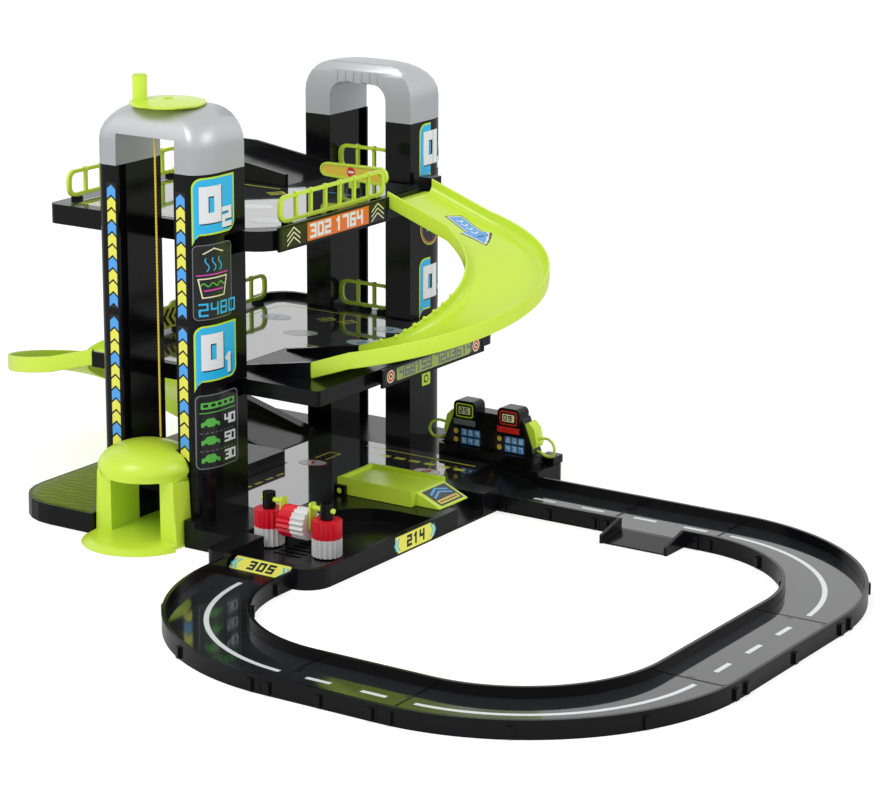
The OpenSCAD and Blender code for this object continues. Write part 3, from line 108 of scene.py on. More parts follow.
def nodes_of(tree):
    """Two short helpers for one node tree: add a node with its values, and link two sockets."""

    def add(kind, **values):
        node = tree.nodes.new("ShaderNode" + kind)
        for key, value in values.items():
            if hasattr(node, key):
                setattr(node, key, value)
            else:
                node.inputs[key.replace("_", " ")].default_value = value
        return node

    return add, tree.links.new


world = bpy.data.worlds.new("studio")
bpy.context.scene.world = world
world.use_nodes = True
world.node_tree.nodes.clear()
add, link = nodes_of(world.node_tree)
path = add("LightPath")
seen = add("Math", operation="MAXIMUM")
link(path.outputs["Is Camera Ray"], seen.inputs[0])
link(path.outputs["Is Glossy Ray"], seen.inputs[1])
seen_all = add("Math", operation="MAXIMUM")
link(seen.outputs[0], seen_all.inputs[0])
link(path.outputs["Is Transmission Ray"], seen_all.inputs[1])
white = add("Background", Color=(1, 1, 1, 1), Strength=1.0)
soft = add("Background", Color=(1, 1, 1, 1), Strength=WORLD_LEVEL)
blend = add("MixShader")
out = add("OutputWorld")
link(seen_all.outputs[0], blend.inputs[0])
link(soft.outputs[0], blend.inputs[1])
link(white.outputs[0], blend.inputs[2])
link(blend.outputs[0], out.inputs[0])


def lamp(name, place, target, size, power):
    """A square lamp at a place, turned to its target."""
    data = bpy.data.lights.new(name, "AREA")
    data.shape = "SQUARE"
    data.size = size
    data.energy = power
    obj = bpy.data.objects.new(name, data)
    facing = (Vector(place) - Vector(target)).to_track_quat("Z", "Y")
    obj.matrix_world = Matrix.Translation(place) @ facing.to_matrix().to_4x4()
    bpy.context.scene.collection.objects.link(obj)


lamp("key_lamp", (-0.4, -1.9, 2.2), (0.1, 0, 0.1), 1.4, 26)
lamp("side_lamp", (2.2, 0.6, 1.6), (0.1, 0, 0.1), 1.2, 11)

FLOOR_SEEN, FLOOR_MIRRORED = 0.70, 0.12
FLOOR_HALF = 8.0
corners = np.array([(-1, -1, 0), (1, -1, 0), (1, 1, 0), (-1, 1, 0)]) * FLOOR_HALF
floor_mesh = bpy.data.meshes.new("floor")
floor_mesh.from_pydata(corners.tolist(), [], [(0, 1, 2, 3)])
floor = bpy.data.objects.new("floor", floor_mesh)
bpy.context.scene.collection.objects.link(floor)
floor_look = bpy.data.materials.new("floor")
floor_look.use_nodes = True
floor_look.node_tree.nodes.clear()
add, link = nodes_of(floor_look.node_tree)
paper = add("BsdfDiffuse", Color=(0.5, 0.5, 0.5, 1))
glow = add("Emission", Color=(1, 1, 1, 1))
floor_path = add("LightPath")
floor_level = add("Math", operation="MULTIPLY_ADD")
floor_level.inputs[1].default_value = FLOOR_MIRRORED - FLOOR_SEEN
floor_level.inputs[2].default_value = FLOOR_SEEN
link(floor_path.outputs["Is Glossy Ray"], floor_level.inputs[0])
link(floor_level.outputs[0], glow.inputs["Strength"])
both = add("AddShader")
out = add("OutputMaterial")
link(paper.outputs[0], both.inputs[0])
link(glow.outputs[0], both.inputs[1])
link(both.outputs[0], out.inputs[0])
floor_mesh.materials.append(floor_look)

# %% [markdown]
# Moulded plastic has one colour all through, but never looks like one flat colour. The surface
# of the mould leaves a faint grain, handling leaves a haze that changes the gloss from place to
# place, and every edge is slightly round. The grain and the haze are noise on the object's own
# coordinates. The round edges come from the Bevel node, which turns the normals near an edge.

# %% Plastics
def plastic(name, colour, rough=0.18, haze=0.08, grain=0.02, tint=0.04, edge=0.5, level=0.5, shade=None):
    """Principled plastic: tint varies the colour, haze the gloss, grain the normal, edge rounds in mm.
    Without an edge, as for the metallic caps that have round shoulders anyway, the normal stays as it is."""
    look = bpy.data.materials.new(name)
    look.use_nodes = True
    add, link = nodes_of(look.node_tree)
    body = look.node_tree.nodes["Principled BSDF"]
    body.inputs["Specular IOR Level"].default_value = level
    place = add("TexCoord")
    cloud = add("TexNoise", Scale=28.0, Detail=3.0)
    link(place.outputs["Object"], cloud.inputs["Vector"])
    mix = add("Mix", data_type="RGBA")
    if shade:
        link(shade(add, link, place, colour), mix.inputs[6])
        darker = [[c * (1 - tint) for c in part] for part in colour]
        link(shade(add, link, place, darker), mix.inputs[7])
    else:
        mix.inputs[6].default_value = (*colour, 1)
        mix.inputs[7].default_value = (*[min(1, c * (1 + tint) + tint * 0.02) for c in colour], 1)
    link(cloud.outputs["Fac"], mix.inputs[0])
    link(mix.outputs[2], body.inputs["Base Color"])
    smear = add("TexNoise", Scale=90.0, Detail=4.0, Roughness=0.7)
    link(place.outputs["Object"], smear.inputs["Vector"])
    gloss = add("MapRange", To_Min=max(0.02, rough - haze / 2), To_Max=rough + haze)
    link(smear.outputs["Fac"], gloss.inputs["Value"])
    link(gloss.outputs[0], body.inputs["Roughness"])
    if edge:
        grit = add("TexNoise", Scale=2600.0, Detail=1.0)
        link(place.outputs["Object"], grit.inputs["Vector"])
        relief = add("Bump", Strength=grain, Distance=0.0002)
        link(grit.outputs["Fac"], relief.inputs["Height"])
        rounding = add("Bevel", samples=4, Radius=edge * MM)
        link(rounding.outputs[0], relief.inputs["Normal"])
        link(relief.outputs[0], body.inputs["Normal"])
    return look


def halves(axis, border):
    """Two colours that meet at a border along one axis of the object, in metres."""

    def shade(add, link, place, colours):
        split = add("SeparateXYZ")
        link(place.outputs["Object"], split.inputs[0])
        step = add("Math", operation="GREATER_THAN")
        step.inputs[1].default_value = border
        link(split.outputs[axis], step.inputs[0])
        mix = add("Mix", data_type="RGBA")
        mix.inputs[6].default_value = (*colours[0][:3], 1)
        mix.inputs[7].default_value = (*colours[1][:3], 1)
        link(step.outputs[0], mix.inputs[0])
        return mix.outputs[2]

    return shade


BLACK = (0.004, 0.004, 0.005)
BLACK_LEVEL = 0.22
LIME = (0.62, 0.83, 0.055)
RED = (0.80, 0.01, 0.03)
WHITE = (0.80, 0.80, 0.80)
looks = {
    "tower": plastic("tower_black", BLACK, rough=0.12, haze=0.06, level=BLACK_LEVEL),
    "deck": plastic("storey_black", BLACK, rough=0.16, haze=0.08, level=BLACK_LEVEL),
    "base": plastic("base_black", BLACK, rough=0.2, haze=0.1, grain=0.05, level=BLACK_LEVEL),
    "road": plastic("road_black", BLACK, rough=0.14, haze=0.07, level=BLACK_LEVEL),
    "lime": plastic("lime_plastic", LIME, rough=0.22, haze=0.08, tint=0.05),
    "silver": plastic("silver_plastic", (0.49, 0.50, 0.52), rough=0.40, haze=0.06, tint=0.06, edge=0),
    "grey": plastic("grey_plastic", (0.2, 0.2, 0.21), rough=0.35),
}
SILVER_FLAKE = 0.65
looks["silver"].node_tree.nodes["Principled BSDF"].inputs["Metallic"].default_value = SILVER_FLAKE
roller_low, roller_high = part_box("wash_roller_left")
top_low, top_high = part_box("top_roller")
looks["upright_roller"] = plastic("upright_roller", (WHITE, RED), rough=0.3, edge=0.25,
                                  shade=halves("Z", (roller_low.z + roller_high.z) / 2))
looks["hanging_roller"] = plastic("hanging_roller", (RED, WHITE), rough=0.3, edge=0.25,
                                  shade=halves("X", (top_low.x + top_high.x) / 2))

LIME_NODES = ("front_ramp rear_ramp barrier_arm crank cab_body cab_roof top_roller_frame service_ramp "
              "pump_nozzle_left pump_nozzle_right pump_hose_left pump_hose_right upper_left_rail "
              "upper_front_rail upper_rear_rail middle_left_rail middle_rear_rail").split()


def look_of(node):
    """The finish of a CAD node, from its name."""
    if node in LIME_NODES:
        return looks["lime"]
    if "roller" in node:
        return looks["hanging_roller" if node == "top_roller" else "upright_roller"]
    if node in ("lift_cap", "arch_cap"):
        return looks["silver"]
    if node in ("winch_plate", "cord_drum", "cord_guide"):
        return looks["grey"]
    if "pillar" in node:
        return looks["tower"]
    if node.startswith("road_"):
        return looks["road"]
    return looks["base" if node == "base_tray" else "deck"]


for name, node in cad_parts.items():
    node.data.materials.clear()
    node.data.materials.append(look_of(name))

# %% [markdown]
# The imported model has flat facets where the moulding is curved. The ramps, the caps and the other
# round pieces get smooth copies: the facets' shared corners are merged, and only edges sharper
# than a fixed angle stay sharp. The ramps follow in a step of their own.

# %% New pieces
def new_piece(name, mesh, body, stands_for=None):
    """A new object at the origin that rides on a body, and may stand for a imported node."""
    piece = bpy.data.objects.new(name, mesh)
    bpy.context.scene.collection.objects.link(piece)
    if stands_for:
        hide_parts(stands_for)
    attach(piece, body)
    return piece


# %% Smooth copies
SHARP_FROM = math.radians(27)
SMOOTH = {"lift_cap": "garage", "arch_cap": "garage", "cab_roof": "lift", "cab_body": "lift",
          "crank": "winch"}


def even_normals(mesh):
    """Normals at the corners as the sum of the normals of the faces in the same smooth fan, each
    times its area, so that wide flat faces stay flat and thin facets only round what joins them."""
    build = bmesh.new()
    build.from_mesh(mesh)
    build.faces.ensure_lookup_table()
    normals = [None] * len(mesh.loops)
    for vert in build.verts:
        waiting = set(vert.link_faces)
        while waiting:
            fan, edge_of_fan = set(), [waiting.pop()]
            while edge_of_fan:
                face = edge_of_fan.pop()
                fan.add(face)
                for edge in face.edges:
                    if vert in edge.verts and edge.smooth:
                        for other in edge.link_faces:
                            if other in waiting:
                                waiting.discard(other)
                                edge_of_fan.append(other)
            total = sum((face.normal * face.calc_area() for face in fan), Vector())
            total = total.normalized() if total.length else next(iter(fan)).normal
            for face in fan:
                for loop in face.loops:
                    if loop.vert == vert:
                        normals[loop.index] = tuple(total)
    build.free()
    mesh.normals_split_custom_set(normals)


def smooth_copy(node, body):
    """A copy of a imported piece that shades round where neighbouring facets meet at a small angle."""
    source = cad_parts[node]
    mesh = bpy.data.meshes.new(f"{node}_smooth")
    build = bmesh.new()
    build.from_mesh(source.data)
    build.transform(source.matrix_world)
    bmesh.ops.remove_doubles(build, verts=build.verts[:], dist=0.01 * MM)
    bmesh.ops.recalc_face_normals(build, faces=build.faces[:])
    build.to_mesh(mesh)
    build.free()
    mesh.shade_smooth()
    mesh.set_sharp_from_angle(angle=SHARP_FROM)
    mesh.materials.append(look_of(node))
    even_normals(mesh)
    new_piece(f"{node}_smooth", mesh, body, node)
    return len(mesh.vertices)


for node, body in SMOOTH.items():
    print(node, "corners after merging:", smooth_copy(node, body))

# %% [markdown]
# A ramp is one section swept along a straight, a half turn and a straight, while it falls evenly.
# The moulded section has a round fillet between floor and wall, and round lips on the walls:
# each is a quarter circle or a half circle about its own centre.

# %% Ramps
RAMP_R, RAMP_W, RAMP_T, RAMP_FLOOR, RAMP_WALL = 60.0, 59.0, 1.8, 2.4, 9.4
FILLET = 5.5
LIP = 4.7
LIP_T = 1.6
NUB_R, NUB_SIDES, NUB_RINGS, NUB_POLE = 1.7, 12, 8, 0.05
NUB_SIDE, NUB_UP = np.array([-RAMP_W / 2 + RAMP_T / 2]), np.array([RAMP_WALL - 0.6])


def ramp_way(way, side, up_, run, back, z0, z1):
    """The way along the middle line gives a straight, then an arc by way over radius, then a straight
    back; side is measured to the left of the way, and the height falls in proportion to the way."""
    bend = math.pi * RAMP_R
    turn = np.clip((way - run) / RAMP_R, 0, math.pi)
    after = np.maximum(way - run - bend, 0)
    x = np.minimum(way, run) + (RAMP_R + side) * np.sin(turn) - after
    y = -RAMP_R + (RAMP_R + side) * np.cos(turn)
    return np.column_stack((x, y, z0 + (z1 - z0) * way / (run + bend + back) + up_))


def ramp_profile():
    """Half of the section from the middle of the floor outwards and back under it, then mirrored."""
    half, inner, round_ = RAMP_W / 2, RAMP_W / 2 - RAMP_T, RAMP_T / 2
    t = np.linspace(-math.pi / 2, 0, 9)
    fillet = np.column_stack((inner - FILLET + FILLET * np.cos(t), FILLET + FILLET * np.sin(t)))
    u = np.linspace(math.pi, 0, 7)
    lip = np.column_stack((half - round_ + round_ * np.cos(u), RAMP_WALL - round_ + round_ * np.sin(u)))
    under = np.array([(half, 1.0), (half - 0.3, -RAMP_FLOOR + 0.5), (half - 1.0, -RAMP_FLOOR)])
    right = np.vstack((fillet, lip, under))
    return np.vstack((right, (right * (-1, 1))[::-1]))


BOX_FACES = np.array([(0, 3, 2, 1), (4, 5, 6, 7), (0, 1, 5, 4), (1, 2, 6, 5), (2, 3, 7, 6), (3, 0, 4, 7)])


def strip_faces(rings, sides, first=0):
    """Quads between neighbouring rings of points, each ring closed: corner, next ring, and round."""
    i = np.arange(rings - 1)[:, None] * sides
    j, k = np.arange(sides)[None], (np.arange(sides)[None] + 1) % sides
    return (np.stack((i + j, i + sides + j, i + sides + k, i + k), -1).reshape(-1, 4) + first).tolist()


def ramp(node, run, back, z0, z1, start, turned_, lips, nubs=()):
    """Rings of the section along the way; their caps close the ends. Lips are plain boxes, and the
    nubs are small balls whose centres lie in the top of the inner wall."""
    profile = ramp_profile()
    total = run + math.pi * RAMP_R + back
    ways = np.unique(np.concatenate((np.linspace(0, run, 6), run + np.linspace(0, math.pi * RAMP_R, 97),
                                     np.linspace(total - back, total, 6))))
    count = len(profile)
    rings = [ramp_way(np.full(count, way), profile[:, 0], profile[:, 1], run, back, z0, z1) for way in ways]
    faces = strip_faces(len(ways), count)
    last = (len(ways) - 1) * count
    faces += [list(range(count)), list(range(last + count - 1, last - 1, -1))]
    points = [np.vstack(rings)]
    first = len(points[0])
    for x0, x1, y0, y1, low_, high_ in lips:
        points.append(np.array([(x0, y0, low_), (x1, y0, low_), (x1, y1, low_), (x0, y1, low_),
                                (x0, y0, high_), (x1, y0, high_), (x1, y1, high_), (x0, y1, high_)]))
        faces += (BOX_FACES + first).tolist()
        first += 8
    a, b = np.meshgrid(np.linspace(0, 2 * math.pi, NUB_SIDES, endpoint=False),
                       np.linspace(NUB_POLE, math.pi - NUB_POLE, NUB_RINGS))
    ball = np.stack((np.sin(b) * np.cos(a), np.sin(b) * np.sin(a), np.cos(b)), -1).reshape(-1, 3) * NUB_R
    for way in nubs:
        points.append(ball + ramp_way(np.array([way]), NUB_SIDE, NUB_UP, run, back, z0, z1))
        faces += strip_faces(NUB_RINGS, NUB_SIDES, first)
        end = first + NUB_RINGS * NUB_SIDES
        faces += [list(range(first, first + NUB_SIDES)), list(range(end - 1, end - 1 - NUB_SIDES, -1))]
        first = end
    points = np.vstack(points)
    if turned_:
        points[:, :2] *= -1
    mesh = bpy.data.meshes.new(f"{node}_moulded")
    mesh.from_pydata(((points + start) * MM).tolist(), [], faces)
    build = bmesh.new()
    build.from_mesh(mesh)
    bmesh.ops.recalc_face_normals(build, faces=build.faces[:])
    build.to_mesh(mesh)
    build.free()
    mesh.shade_smooth()
    mesh.set_sharp_from_angle(angle=SHARP_FROM)
    mesh.materials.append(looks["lime"])
    new_piece(f"{node}_moulded", mesh, "garage", node)
    print(node, "corners:", len(points))


LIP_HALF = RAMP_W / 2 - 3.2
FRONT_START = (67.2, 70.2, 0)
REAR_START = (-89.2, -72.0, 0)
FRONT_RUN, FRONT_BACK, FRONT_Z0, FRONT_Z1 = 50.0, 31.2, 209.0, 111.4
REAR_RUN, REAR_BACK, REAR_Z0, REAR_Z1 = 40.0, 33.2, 100.6, 27.8
ramp("front_ramp", FRONT_RUN, FRONT_BACK, FRONT_Z0, FRONT_Z1, FRONT_START, False,
     [(-LIP, 0.5, -LIP_HALF, LIP_HALF, FRONT_Z0 - LIP_T, FRONT_Z0)], nubs=[160 + 13 * i for i in range(8)])
REAR_END, REAR_FOOT = REAR_RUN - REAR_BACK, REAR_Z1 - 1.2
ramp("rear_ramp", REAR_RUN, REAR_BACK, REAR_Z0, REAR_Z1, REAR_START, True,
     [(-LIP, 0.5, -LIP_HALF, LIP_HALF, REAR_Z0 - LIP_T, REAR_Z0),
      (REAR_END - LIP, REAR_END + 0.5, -2 * RAMP_R - LIP_HALF, -2 * RAMP_R + LIP_HALF,
       REAR_FOOT - LIP_T, REAR_FOOT)])

# %% [markdown]
# The stickers are vinyl and foil about a tenth of a millimetre thick. They could be painted in the
# plastic's shader, but their edges would blur in the exported model, and real ones catch light at
# their rim. So each print is a flat outline with a little thickness. The outlines are drawn in
# millimetres on a plane, and one function of across, up and out carries them onto the object.

# %% Sticker paints
def paint(name, colour, rough=0.16, level=0.5, speck=0.05, coat=0.0):
    """Printed vinyl: the ink's dots vary its colour a little, and its gloss follows finger marks."""
    look = bpy.data.materials.new(name)
    look.use_nodes = True
    add, link = nodes_of(look.node_tree)
    body = look.node_tree.nodes["Principled BSDF"]
    body.inputs["Specular IOR Level"].default_value = level
    body.inputs["Coat Weight"].default_value = coat
    body.inputs["Coat Roughness"].default_value = 0.03
    place = add("TexCoord")
    dots = add("TexNoise", Scale=900.0, Detail=2.0)
    link(place.outputs["Object"], dots.inputs["Vector"])
    ink = add("Mix", data_type="RGBA")
    ink.inputs[6].default_value = (*[c * (1 - speck) for c in colour], 1)
    ink.inputs[7].default_value = (*[min(1, c * (1 + speck)) for c in colour], 1)
    link(dots.outputs["Fac"], ink.inputs[0])
    link(ink.outputs[2], body.inputs["Base Color"])
    marks = add("TexNoise", Scale=60.0, Detail=3.0)
    link(place.outputs["Object"], marks.inputs["Vector"])
    gloss = add("MapRange", To_Min=max(0.02, rough - 0.04), To_Max=rough + 0.06)
    link(marks.outputs["Fac"], gloss.inputs["Value"])
    link(gloss.outputs[0], body.inputs["Roughness"])
    return look


INKS = {
    "white": (0.82, 0.84, 0.86),
    "yellow": (0.82, 0.80, 0.10),
    "amber": (0.85, 0.60, 0.05),
    "blue": (0.08, 0.38, 0.86),
    "cyan": (0.02, 0.48, 0.85),
    "moss": (0.33, 0.45, 0.10),
    "black": (0.008, 0.008, 0.01),
    "lime": (0.55, 0.80, 0.03),
    "green": (0.10, 0.50, 0.06),
    "orange": (0.86, 0.17, 0.02),
    "red": (0.68, 0.02, 0.02),
    "magenta": (0.75, 0.05, 0.45),
    "cream": (0.85, 0.80, 0.50),
    "grey": (0.16, 0.17, 0.18),
}
paints = {name: paint(f"ink_{name}", colour) for name, colour in INKS.items()}
paints["olive"] = paint("ink_olive", (0.075, 0.095, 0.02), rough=0.12)
paints["mirror"] = paint("floor_foil", (0.03, 0.032, 0.036), rough=0.05, level=1.0, coat=1.0)
paints["asphalt"] = paint("road_foil", (0.02, 0.021, 0.024), rough=0.05, level=0.9, coat=0.15)


# %% Flat outlines, in millimetres
def box2(x0, y0, x1, y1, r=0.0, n=6):
    """A rectangle whose corners are quarter circles of radius r."""
    if r <= 0:
        return np.array([(x0, y0), (x1, y0), (x1, y1), (x0, y1)], float)
    turn = np.linspace(0, math.pi / 2, n)
    ring = [np.column_stack((cx + r * np.cos(turn + a), cy + r * np.sin(turn + a)))
            for cx, cy, a in ((x1 - r, y0 + r, -math.pi / 2), (x1 - r, y1 - r, 0),
                              (x0 + r, y1 - r, math.pi / 2), (x0 + r, y0 + r, math.pi))]
    return np.vstack(ring)


def oval(cx, cy, rx, ry, n=36):
    """An ellipse: the centre plus the radii times cosine and sine of the way round."""
    t = np.linspace(0, 2 * math.pi, n, endpoint=False)
    return np.column_stack((cx + rx * np.cos(t), cy + ry * np.sin(t)))


def chevron(cx, y, half, rise, thick):
    """An arrow head that points up: one bent band of constant height."""
    return np.array([(cx - half, y), (cx, y + rise), (cx + half, y), (cx + half, y + thick),
                     (cx, y + rise + thick), (cx - half, y + thick)])


def stroke(points, width):
    """A line drawn with a square pen: one rectangle along each of its lengths."""
    points = np.asarray(points, float)
    bars = []
    for a, b in zip(points[:-1], points[1:]):
        along = (b - a) / np.hypot(*(b - a)) * width / 2
        side = np.array((-along[1], along[0]))
        bars.append(np.array([a - along - side, b + along - side, b + along + side, a - along + side]))
    return bars


def inked(ink, layer, shapes):
    """One paint and layer for every outline of a list."""
    return [(ink, layer, shape) for shape in shapes]


def turned(shape, angle, centre=(0, 0), move=(0, 0)):
    """A shape turned by an angle in degrees about a centre, then moved."""
    c, s = math.cos(math.radians(angle)), math.sin(math.radians(angle))
    return (np.asarray(shape) - centre) @ np.array([(c, s), (-s, c)]) + centre + np.asarray(move)


DIGITS = {
    "0": [[(0, 0), (4, 0), (4, 6), (0, 6), (0, 0)]],
    "1": [[(1, 5), (2.2, 6), (2.2, 0)]],
    "2": [[(0, 6), (4, 6), (4, 3), (0, 3), (0, 0), (4, 0)]],
    "3": [[(0, 6), (4, 6), (4, 0), (0, 0)], [(1, 3), (4, 3)]],
    "4": [[(0, 6), (0, 3), (4, 3)], [(4, 6), (4, 0)]],
    "5": [[(4, 6), (0, 6), (0, 3), (4, 3), (4, 0), (0, 0)]],
    "6": [[(4, 6), (0, 6), (0, 0), (4, 0), (4, 3), (0, 3)]],
    "7": [[(0, 6), (4, 6), (4, 0)]],
    "8": [[(0, 0), (4, 0), (4, 6), (0, 6), (0, 0)], [(0, 3), (4, 3)]],
    "9": [[(0, 0), (4, 0), (4, 6), (0, 6), (0, 3), (4, 3)]],
}


def digits(text, x, y, high, weight=0.16, step=1.5):
    """Plain seven stroke digits of a height, side by side; weight is the pen's share of the height."""
    unit = high * (1 - weight) / 6
    shapes = []
    for place, sign in enumerate(text):
        corner = np.array((x + high * weight / 2 + place * unit * 4 * step, y + high * weight / 2))
        for line in DIGITS[sign]:
            shapes += stroke(np.array(line) * unit + corner, high * weight)
    return shapes


# %% Carrying outlines onto the object
FIRST_LAYER = 0.12
LAYER = 0.04
SEAT = 0.01
STAGGER = 5
HAIR = 0.006


def plane(origin, across, up_):
    """Across, up and out from a corner, in millimetres, to places in metres."""
    origin, across, up_ = (np.array(v, float) for v in (origin, across, up_))
    across /= np.linalg.norm(across)
    up_ /= np.linalg.norm(up_)
    out_ = np.cross(across, up_)
    return lambda p: (origin + p[:, :1] * across + p[:, 1:2] * up_ + p[:, 2:] * out_) * MM


def sticker(name, carry, prints, bends=(), body="garage"):
    """Prints are (paint, layer, outline). Each outline becomes a closed slab from the seat to its
    layer's height. Neighbours in the list differ a hair in height, so that strokes that cross never
    share a surface. Bends are the places across at which the slabs are cut to follow a curve."""
    mesh = bpy.data.meshes.new(name)
    inks = list(dict.fromkeys(print_[0] for print_ in prints))
    for ink in inks:
        mesh.materials.append(paints[ink])
    build = bmesh.new()
    for index, (ink, layer, outline) in enumerate(prints):
        outline = np.asarray(outline, float)
        area = np.sum(outline[:, 0] * np.roll(outline[:, 1], -1) - outline[:, 1] * np.roll(outline[:, 0], -1))
        if area < 0:
            outline = outline[::-1]
        top = FIRST_LAYER + layer * LAYER + index % STAGGER * HAIR
        low = [build.verts.new((x, y, SEAT)) for x, y in outline]
        high = [build.verts.new((x, y, top)) for x, y in outline]
        faces = [build.faces.new(high), build.faces.new(low[::-1])]
        faces += [build.faces.new((low[i - 1], low[i], high[i], high[i - 1])) for i in range(len(low))]
        for face in faces:
            face.material_index = inks.index(ink)
    for cut in bends:
        bmesh.ops.bisect_plane(build, geom=build.verts[:] + build.edges[:] + build.faces[:],
                               plane_co=(cut, 0, 0), plane_no=(1, 0, 0))
    build.to_mesh(mesh)
    build.free()
    flat = np.empty(len(mesh.vertices) * 3)
    mesh.vertices.foreach_get("co", flat)
    mesh.vertices.foreach_set("co", carry(flat.reshape(-1, 3)).ravel())
    mesh.update()
    return new_piece(name, mesh, body)


# %% [markdown]
# Chevron strips run up the front of both lift pillars. They repeat blue, yellow, yellow.

# %% Chevron strips
NOSE_Y = -148.0
STRIP_PITCH = 8.35
STRIP_INKS = ("yellow", "yellow", "blue")


def chevron_strip(name, x_mid, z0, count):
    """A black strip with count arrow heads, whose colours end alike at the top."""
    prints = [("black", 0, box2(-4.2, 0, 4.2, count * STRIP_PITCH + 3.5, 0.6))]
    for i in range(count):
        head = chevron(0, 0.8 + i * STRIP_PITCH, 3.6, 3.0, STRIP_PITCH - 1.6)
        prints.append((STRIP_INKS[(i - count) % 3], 1, head))
    sticker(name, plane((x_mid, NOSE_Y, z0), (1, 0, 0), (0, 0, 1)), prints)


for side, x_mid in (("left", -29.6), ("right", 29.8)):
    chevron_strip(f"chevrons_{side}_lower", x_mid, 57, 11)
    chevron_strip(f"chevrons_{side}_upper", x_mid, 157, 10)

# %% [markdown]
# The right lift pillar carries signs that wrap round its corner. Its outline there is a quarter
# ellipse and then a flat side, so the signs' across is the length along that outline.

# %% Signs round the pillars
ROUND_X, ROUND_Y, ROUND_RX, ROUND_RY, FLAT_X, BACK_Y = 35.5, -128.0, 11.5, 20.0, 47.0, -100.0


def pillar_wrap(z0, rear=False):
    """Across is the length along the pillar's outline from the nose, up is z, out is the outline's
    normal. The outline is sampled finely, and places between the samples are interpolated."""
    t = np.linspace(-math.pi / 2, 0, 60)
    x = np.concatenate((ROUND_X + ROUND_RX * np.cos(t), [FLAT_X]))
    y = np.concatenate((ROUND_Y + ROUND_RY * np.sin(t), [BACK_Y]))
    nx = np.concatenate((np.cos(t) / ROUND_RX, [1 / ROUND_RX]))
    ny = np.concatenate((np.sin(t) / ROUND_RY, [0]))
    size = np.hypot(nx, ny)
    way = np.concatenate(([0], np.cumsum(np.hypot(np.diff(x), np.diff(y)))))
    if rear:
        y, ny, way = -y, -ny, way[-1] - way
        x, y, nx, ny, size, way = (a[::-1] for a in (x, y, nx, ny, size, way))

    def carry(p):
        px, py = np.interp(p[:, 0], way, x), np.interp(p[:, 0], way, y)
        qx, qy = np.interp(p[:, 0], way, nx / size), np.interp(p[:, 0], way, ny / size)
        return np.column_stack((px + qx * p[:, 2], py + qy * p[:, 2], z0 + p[:, 1])) * MM

    return carry


def leaf(x0, y0, x1, y1, r):
    """A sign with two round corners, one sharp corner, and a drop of the lower left corner."""
    t = np.linspace(0, math.pi / 2, 8)
    upper_left = np.column_stack((x0 + r - r * np.cos(t), y1 - r + r * np.sin(t)))
    lower_right = np.column_stack((x1 - r + r * np.cos(t), y0 + r - r * np.sin(t)))
    drop = np.array([(x0 + r * 0.7, y0), (x0 + r * 0.25, y0 - r * 0.4), (x0, y0 - r)])
    return np.vstack((upper_left, [(x1, y1)], lower_right, drop))


WRAP_BENDS = tuple(np.arange(1.0, 27.0, 1.5))


def number_sign(name, carry, digit, x0=3.0, wide=38.0, high=39.0):
    """A cyan leaf with a lime rim, a large nought and a small digit, each with a black shadow."""
    prints = [("lime", 0, leaf(x0, 0, x0 + wide, high, 7)),
              ("cyan", 1, leaf(x0 + 1.2, 1.2, x0 + wide - 1.2, high - 1.2, 6))]
    body = digits("0", x0 + 5, 8, 25, weight=0.28) + digits(digit, x0 + 24.5, 3.4, 14, weight=0.24)
    prints += [("black", 2, shape + (0.9, -0.9)) for shape in body]
    prints += inked("white", 4, body)
    sticker(name, carry, prints, WRAP_BENDS)


number_sign("sign_two", pillar_wrap(215), "2")
number_sign("sign_one", pillar_wrap(114), "1")
number_sign("rear_sign_two", pillar_wrap(215, rear=True), "2", x0=12)
number_sign("rear_sign_one", pillar_wrap(114, rear=True), "1", x0=12)

cup = np.array([(10, 12), (30, 12), (33, 27), (7, 27), (10, 12)])
curl = 1.6 * np.sin(np.linspace(0, 5.5, 12))
steam = [np.column_stack((x + curl, np.linspace(33, 43, 12))) for x in (14, 20, 26)]
ripple = np.column_stack((np.linspace(9, 31, 26), 22 + 1.3 * np.sin(np.linspace(0, 18, 26))))
neon = [("grey", 0, box2(3, 0, 39, 60, 4)), ("black", 1, box2(3.7, 0.7, 38.3, 59.3, 3.5))]
neon += inked("cream", 2, stroke(cup, 1.0))
neon += inked("green", 2, stroke(ripple, 0.9))
neon += inked("magenta", 2, stroke([(11.5, 17.5), (28.5, 17.5)], 1.1))
neon += [("cyan", 2, bar) for line in steam for bar in stroke(line, 0.9)]
neon = [(ink, layer, shape + (0, 6) if layer > 1 else shape) for ink, layer, shape in neon]
neon += inked("cyan", 2, digits("2480", 7, 3, 10.5, weight=0.14, step=1.55))
neon += inked("cream", 2, stroke([(11, 53), (20, 56.5), (29, 53)], 1.0))
neon += inked("magenta", 2, stroke([(6, 36), (34, 36)], 0.9))
NEON_SCALE = (0.95, 0.86)
neon = [(ink, layer, shape * NEON_SCALE) for ink, layer, shape in neon]
sticker("neon_sign", pillar_wrap(157), neon, WRAP_BENDS)


def car_shape(x, y, long_, high):
    """A plain car from the side: a sill, a sloped nose, a cabin and a tail."""
    steps = np.array([(0, 0), (1, 0), (1, 0.45), (0.82, 0.55), (0.66, 1), (0.3, 1), (0.14, 0.6), (0, 0.5)])
    return steps * (long_, high) + (x, y)


